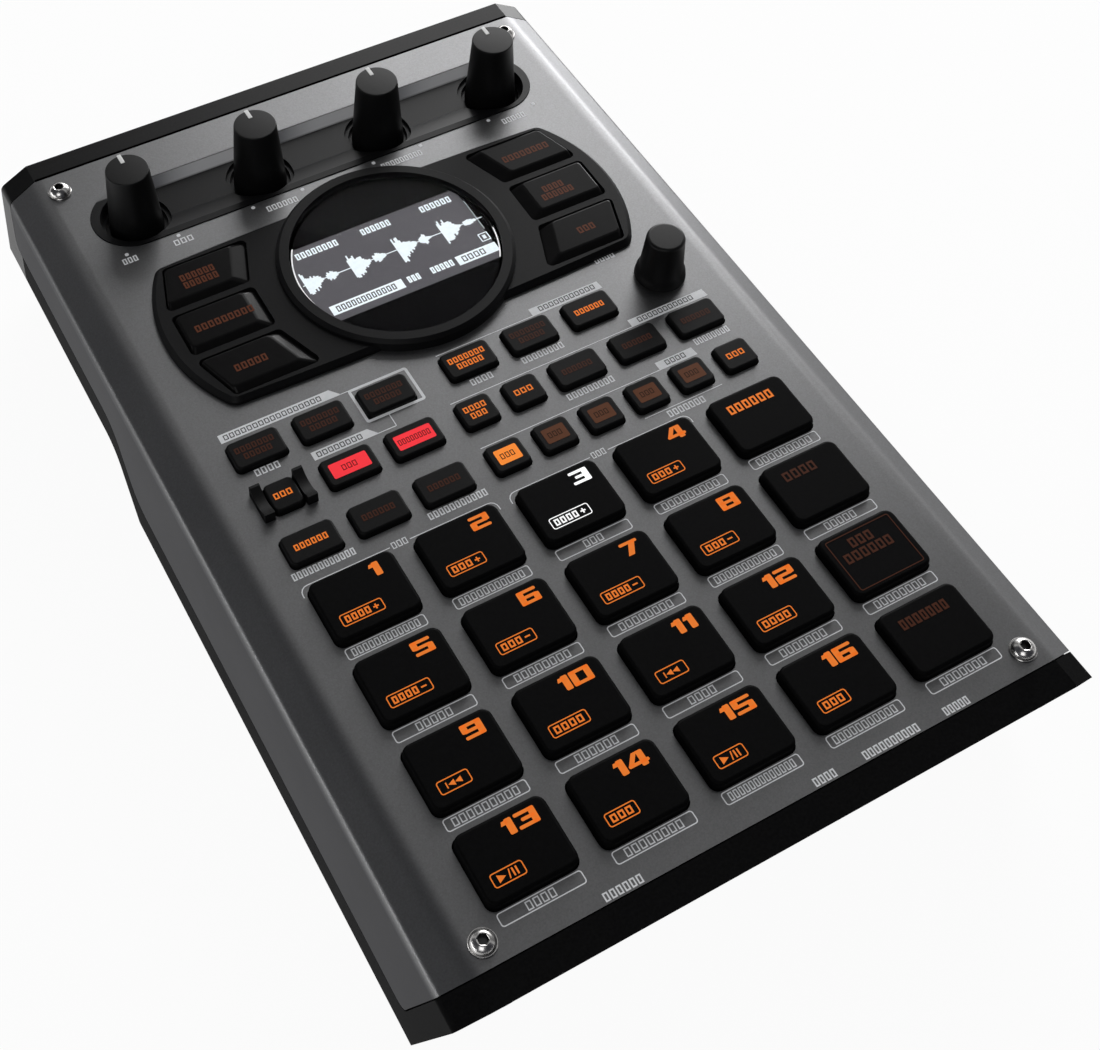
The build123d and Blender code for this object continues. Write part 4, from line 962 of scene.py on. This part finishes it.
for side in (-1, 1):
    for row in (1, 0, -1):
        number = (1 if side < 0 else 4) + (1 - row)
        node = f"effect_key_{number}"
        middle = plate_y + row * effect_pitch
        deselect()
        bpy.ops.mesh.primitive_plane_add(size=1, location=(0, 0, effect_low_z))
        cap = settle(f"{node}_cap")
        start_shaping()
        shape = bmesh.from_edit_mesh(cap.data)
        for point in shape.verts:
            far = point.co.x * side > 0
            narrow = row and (point.co.y > 0) == (row > 0)
            point.co.x = side * (effect_narrow_x if narrow else effect_wide_x)[far]
            point.co.y = middle + math.copysign(effect_half_depth, point.co.y)
        bmesh.update_edit_mesh(cap.data)
        take_all()
        extrude_up(effect_wall)
        extrude_up(effect_facet)
        bpy.ops.transform.resize(
            value=(effect_top_share, effect_top_share, 1),
            center_override=(side * effect_top_x, middle + effect_top_y, 0),
        )
        face_outward()
        pick(cap, "EDGE", lambda edge: abs(edge.verts[0].co.z - edge.verts[1].co.z) > least_rise)
        round_off(effect_side_round, 5)
        bevel_top(cap, effect_top_z, effect_top_round)
        stop_shaping()
        cap.data.materials.append(smoked_gloss)
        smooth_over(cap)
        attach(cap, node)
        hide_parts(node)
        words = effect_words[number]
        letter, first_line = (0.0019, 0.0) if len(words) == 1 else (0.0017, 0.0014)
        marks = []
        for line_number, letters in enumerate(words):
            left = side * word_middle_x - letters * letter / 2
            right = side * word_middle_x + letters * letter / 2
            y = middle + first_line - line_number * line_pitch
            word = (effect_print_z, 0.0023, letters, 0.00046)
            marks.append(printed_word(left, right, y, *word, effect_dim))
        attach(join_as(f"{node}_print", marks), node)

# The display. A grey lit strip lies under the round lens, with black masks over and under
# it. It shows a sound's wave drawn in bars, and bands with short words at its edges.
screen_ground = lit("screen_ground", (0.030, 0.029, 0.031), (0.88, 0.85, 0.92), 0.085)
screen_light = lit("screen_light", (0.32, 0.33, 0.34), (0.86, 0.97, 1.0), 0.74)
screen_black = lit("screen_black", (0.0022, 0.0022, 0.0024), (0.0, 0.0, 0.0), 0.0, gloss=0.02)
screen_z = panel_z + 0.0017
ground_z = screen_z + 0.00001
mark_z = screen_z + 0.00003
mask_z = screen_z + 0.00006
strip_half = 0.0144
ground_radius = 0.0284
ground_right = 0.0259
mask_radius = 0.0287
mask_reach = 0.03
disc_thickness = 0.00001


def disc_band(name, radius, z, low_y, high_y, paint):
    """The part of a thin disc between two lines across it."""
    deselect()
    bpy.ops.mesh.primitive_circle_add(
        vertices=128, radius=radius, fill_type="NGON", location=(0, plate_y, z)
    )
    piece = settle(name)
    start_shaping()
    cut_off((0, plate_y + low_y, z), (0, -1, 0))
    cut_off((0, plate_y + high_y, z), (0, 1, 0))
    return thicken_print(piece, paint, disc_thickness)


wear_finish(screen_black, "display_module")
ground_half = strip_half - 0.0001
ground = disc_band(
    "screen_ground", ground_radius, ground_z, -ground_half, ground_half, screen_ground
)
alone(ground)
start_shaping()
cut_off((ground_right, 0, screen_z), (1, 0, 0), fill=True)
stop_shaping()
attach(ground, "housing")
mask_rear = disc_band(
    "lens_mask_rear", mask_radius, mask_z, strip_half, mask_reach, screen_black
)
mask_front = disc_band(
    "lens_mask_front", mask_radius, mask_z, -mask_reach, -strip_half, screen_black
)
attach(mask_rear, "housing")
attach(mask_front, "housing")

# The picture on the display. Four struck notes, each a loud start that fades and a soft
# swell after it, on a middle line, with a dotted scale and a boxed mark at the right.
wave_y = 0.0540
wave_bar = 0.00047
note_starts = (-0.0274, -0.0131, 0.0011, 0.0151)
note_bars = 13
note_rise, note_drop = 0.0060, 0.0062
swell_bars = 8
swell_offset = 0.0070
swell_half = 0.0023
wave_limit, wave_edge = 0.0283, 0.0075
random.seed(7)


def wave_bar_at(x, rise, drop):
    """One bar of the wave, from so much over the middle line to so much under it."""
    middle = wave_y + (rise - drop) / 2
    return printed_bar("wave", x, middle, mark_z, wave_bar, rise + drop, 0, screen_light)


picture = []
for start in note_starts:
    for step in range(note_bars):
        fade = (1 - step / note_bars) ** 0.85
        rise = note_rise * fade * (0.45 + 0.55 * random.random())
        drop = note_drop * fade * (0.55 + 0.45 * random.random())
        x = start + step * wave_bar
        if math.hypot(x, wave_edge) < wave_limit:
            picture.append(wave_bar_at(x, rise, drop))
    for step in range(swell_bars):
        swell = swell_half * (1 - abs(step - 2.5) / 6) * (0.45 + 0.55 * random.random())
        picture.append(wave_bar_at(start + swell_offset + step * wave_bar, swell, swell))
picture.append(printed_bar("wave_line", 0.0, wave_y, mark_z, 0.0555, 0.0003, 0, screen_light))
for left, right, y, letters in (
    (-0.0250, -0.0120, 0.0643, 8),
    (-0.0050, 0.0043, 0.0643, 6),
    (0.0136, 0.0236, 0.0643, 6),
    (-0.0016, 0.0024, 0.0428, 3),
    (0.0056, 0.0128, 0.0428, 5),
):
    word = (mark_z, 0.0023, letters, 0.00045)
    picture.append(printed_word(left, right, y, *word, screen_light))
band_y = 0.0425
for left, right, end_gap, letters in (
    (-0.0249, -0.0031, 0.0020, 12),
    (0.0136, 0.0262, 0.0035, 4),
):
    size = (right - left, 0.0034, 0)
    picture.append(printed_bar("band", (left + right) / 2, band_y, mark_z, *size, screen_light))
    word = (mark_z + 0.00001, 0.0021, letters, 0.00036)
    ends = (left + 0.0016, right - end_gap)
    picture.append(printed_word(*ends, band_y, *word, screen_ground))
scale_x, scale_top_y, scale_pitch = 0.0262, 0.0615, 0.0005
dot_size = (0.00027, 0.00025, 0)
for step in range(24):
    y = scale_top_y - step * scale_pitch
    picture.append(printed_bar("dot", scale_x, y, mark_z, *dot_size, screen_light))
box_place = (0.0247, 0.0471, mark_z)
box_size = (0.0029, 0.0031, 0.0001, 0.0003)
picture.append(printed_frame("corner_box", *box_place, *box_size, screen_light))
picture.append(printed_bar("corner_mark", *box_place, 0.0010, 0.0014, 0, screen_light))
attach(join_as("screen_picture", picture), "housing")

# The lens. A clear moulded disc over the display. The screen's light on its rim is a painted
# highlight: thin glowing arcs, one at the left and a shorter one at the right.
# Painted highlight: these arcs glow though nothing lights them.
edge_light = lit("edge_light", (0.5, 0.5, 0.5), (1.0, 1.0, 1.0), 0.55)
rim_radius = 0.02865
rim_line = 0.0002
glints = []
for side, low_y, high_y in ((-1, -0.0144, 0.0144), (1, -0.0144, -0.0040)):
    deselect()
    bpy.ops.mesh.primitive_torus_add(
        major_radius=rim_radius,
        minor_radius=rim_line,
        major_segments=144,
        minor_segments=8,
        location=(0, plate_y, screen_z + 0.0004),
    )
    glint = settle("rim_painted_arc")
    start_shaping()
    cut_off((0, 0, 0), (-side, 0, 0), fill=True)
    cut_off((0, plate_y + low_y, 0), (0, -1, 0), fill=True)
    cut_off((0, plate_y + high_y, 0), (0, 1, 0), fill=True)
    stop_shaping()
    glint.data.materials.append(edge_light)
    glints.append(glint)
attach(join_as("screen_edge_light", glints), "housing")
lens_glass = bpy.data.materials.new("lens_glass")
lens_glass.use_nodes = True
shader = lens_glass.node_tree.nodes["Principled BSDF"]
shader.inputs["Base Color"].default_value = (0.92, 0.92, 0.94, 1)
shader.inputs["Roughness"].default_value = 0.02
shader.inputs["Transmission Weight"].default_value = 1.0
shader.inputs["IOR"].default_value = 1.045
wear_finish(lens_glass, "display_lens")

# The cover's prints. Pale ink: an outlined box in front of each pad, brackets over the
# pads, filled tabs with fine lines over the key rows, dots at the knobs and short bars.
# Painted light: the pale ink glows faintly, though nothing lights it from behind.
silk = lit("silk_print", (0.66, 0.67, 0.69), (0.9, 0.9, 0.9), 0.14)
silk_ink = lit("silk_ink", (0.085, 0.086, 0.090), (0.0, 0.0, 0.0), 0.0)
silk_z = panel_z + lift
fine_line = 0.00026
label_drop = 0.01115
prints = []
box_size = (0.0210, 0.00325, 0.0008, 0.00028)
box_model = printed_frame("label_box", 0, -label_drop, silk_z, *box_size, silk)
label_letters = (12, 11, 3, 9, 9, 5, 8, 8, 11, 5, 9, 6, 4, 7, 8, 4, 8, 13, 11, 7)
for (x, y), letters in zip(pads.values(), label_letters):
    prints.append(copy_to(box_model, "label_box", x, y))
    half = min(0.0019, 0.0180 / letters) * letters / 2
    word = (silk_z, 0.0021, letters, 0.00030)
    prints.append(printed_word(x - half, x + half, y - label_drop, *word, silk))
bpy.data.objects.remove(box_model)
bracket_y = -0.0396
bracket_word_y = -0.0296
bracket_cut_y = -0.0327
for left, right, gap in (
    (-0.0695, -0.0156, (-0.0450, -0.0395)),
    (-0.0124, 0.0415, (0.0120, 0.0173)),
):
    place = ((left + right) / 2, bracket_y, silk_z)
    size = (right - left, 0.0200, 0.0022, 0.00028)
    prints.append(printed_frame("bracket", *place, *size, silk, bracket_cut_y, gap))
    ends = (gap[0] + 0.0006, gap[1] - 0.0004)
    word = (silk_z, 0.0019, 3, 0.00026)
    prints.append(printed_word(*ends, bracket_word_y, *word, silk))
for left, right, low, high, slant, letters in (
    (-0.0683, -0.0345, 0.0176, 0.0204, -0.0024, 17),
    (-0.0497, -0.0315, 0.0019, 0.0046, -0.0022, 8),
    (0.0229, 0.0449, 0.0173, 0.0198, -0.0003, 11),
    (0.0446, 0.0689, 0.0016, 0.0040, -0.0003, 11),
    (0.0431, 0.0549, -0.0143, -0.0118, -0.0003, 4),
):
    x, y = (left + right) / 2, (low + high) / 2
    size = (right - left, high - low, 0)
    prints.append(printed_bar("tab", x, y, silk_z, *size, silk, 0.0, slant))
    word_left = left + (0.0012 if slant < -0.001 else 0.0026)
    word_right = word_left + letters * 0.00163
    word = (silk_z + lift, 0.0016, letters, 0.00026)
    prints.append(printed_word(word_left, word_right, y, *word, silk_ink))
for left, right, y in (
    (-0.0069, 0.0449, 0.0172),
    (-0.0111, 0.0689, 0.0015),
    (-0.0111, 0.0549, -0.0144),
    (0.0310, 0.0549, -0.0260),
    (-0.0350, -0.0320, 0.01772),
    (-0.0320, -0.0266, 0.00205),
):
    size = (right - left, fine_line, 0)
    prints.append(printed_bar("rule", (left + right) / 2, y, silk_z, *size, silk))
prints.append(printed_bar("rule", -0.0265, 0.0041, silk_z, fine_line, 0.0041, 0, silk))
frame_size = (0.0172, 0.0118, 0.0008, 0.0008)
prints.append(printed_frame("key_frame", -0.02415, 0.0120, silk_z, *frame_size, silk))
for left, right, y, letters in (
    (-0.0646, -0.0575, 0.0054, 4),
    (-0.0695, -0.0525, -0.0264, 12),
    (-0.0325, -0.0158, -0.0264, 11),
    (-0.0030, 0.0038, 0.0051, 4),
    (0.0125, 0.0254, 0.0051, 8),
    (0.0168, 0.0312, -0.0109, 9),
    (0.0564, 0.0676, -0.0109, 8),
    (0.0370, 0.0486, -0.0277, 7),
    (-0.0454, -0.0354, -0.1284, 6),
    (0.0095, 0.0157, -0.1284, 4),
    (0.0232, 0.0390, -0.1284, 10),
    (0.0461, 0.0535, -0.1284, 5),
    (-0.0670, -0.0624, 0.0863, 3),
    (-0.0518, -0.0458, 0.0863, 3),
    (-0.0236, -0.0138, 0.0861, 6),
    (0.0128, 0.0262, 0.0861, 9),
    (0.0530, 0.0610, 0.0861, 5),
    (0.0480, 0.0545, 0.0262, 4),
):
    word = (silk_z, 0.0021, letters, 0.00036)
    prints.append(printed_word(left, right, y, *word, silk))
dot_y = 0.0886
dot_reach = 0.0077
dot_size = (0.0011, 0.0011, 0.0004)
for number in range(4):
    for side in (-1, 1):
        x = (number - 1.5) * knob_pitch + side * dot_reach
        prints.append(printed_bar("dot", x, dot_y, silk_z, *dot_size, silk))
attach(join_as("cover_print", prints), "housing")
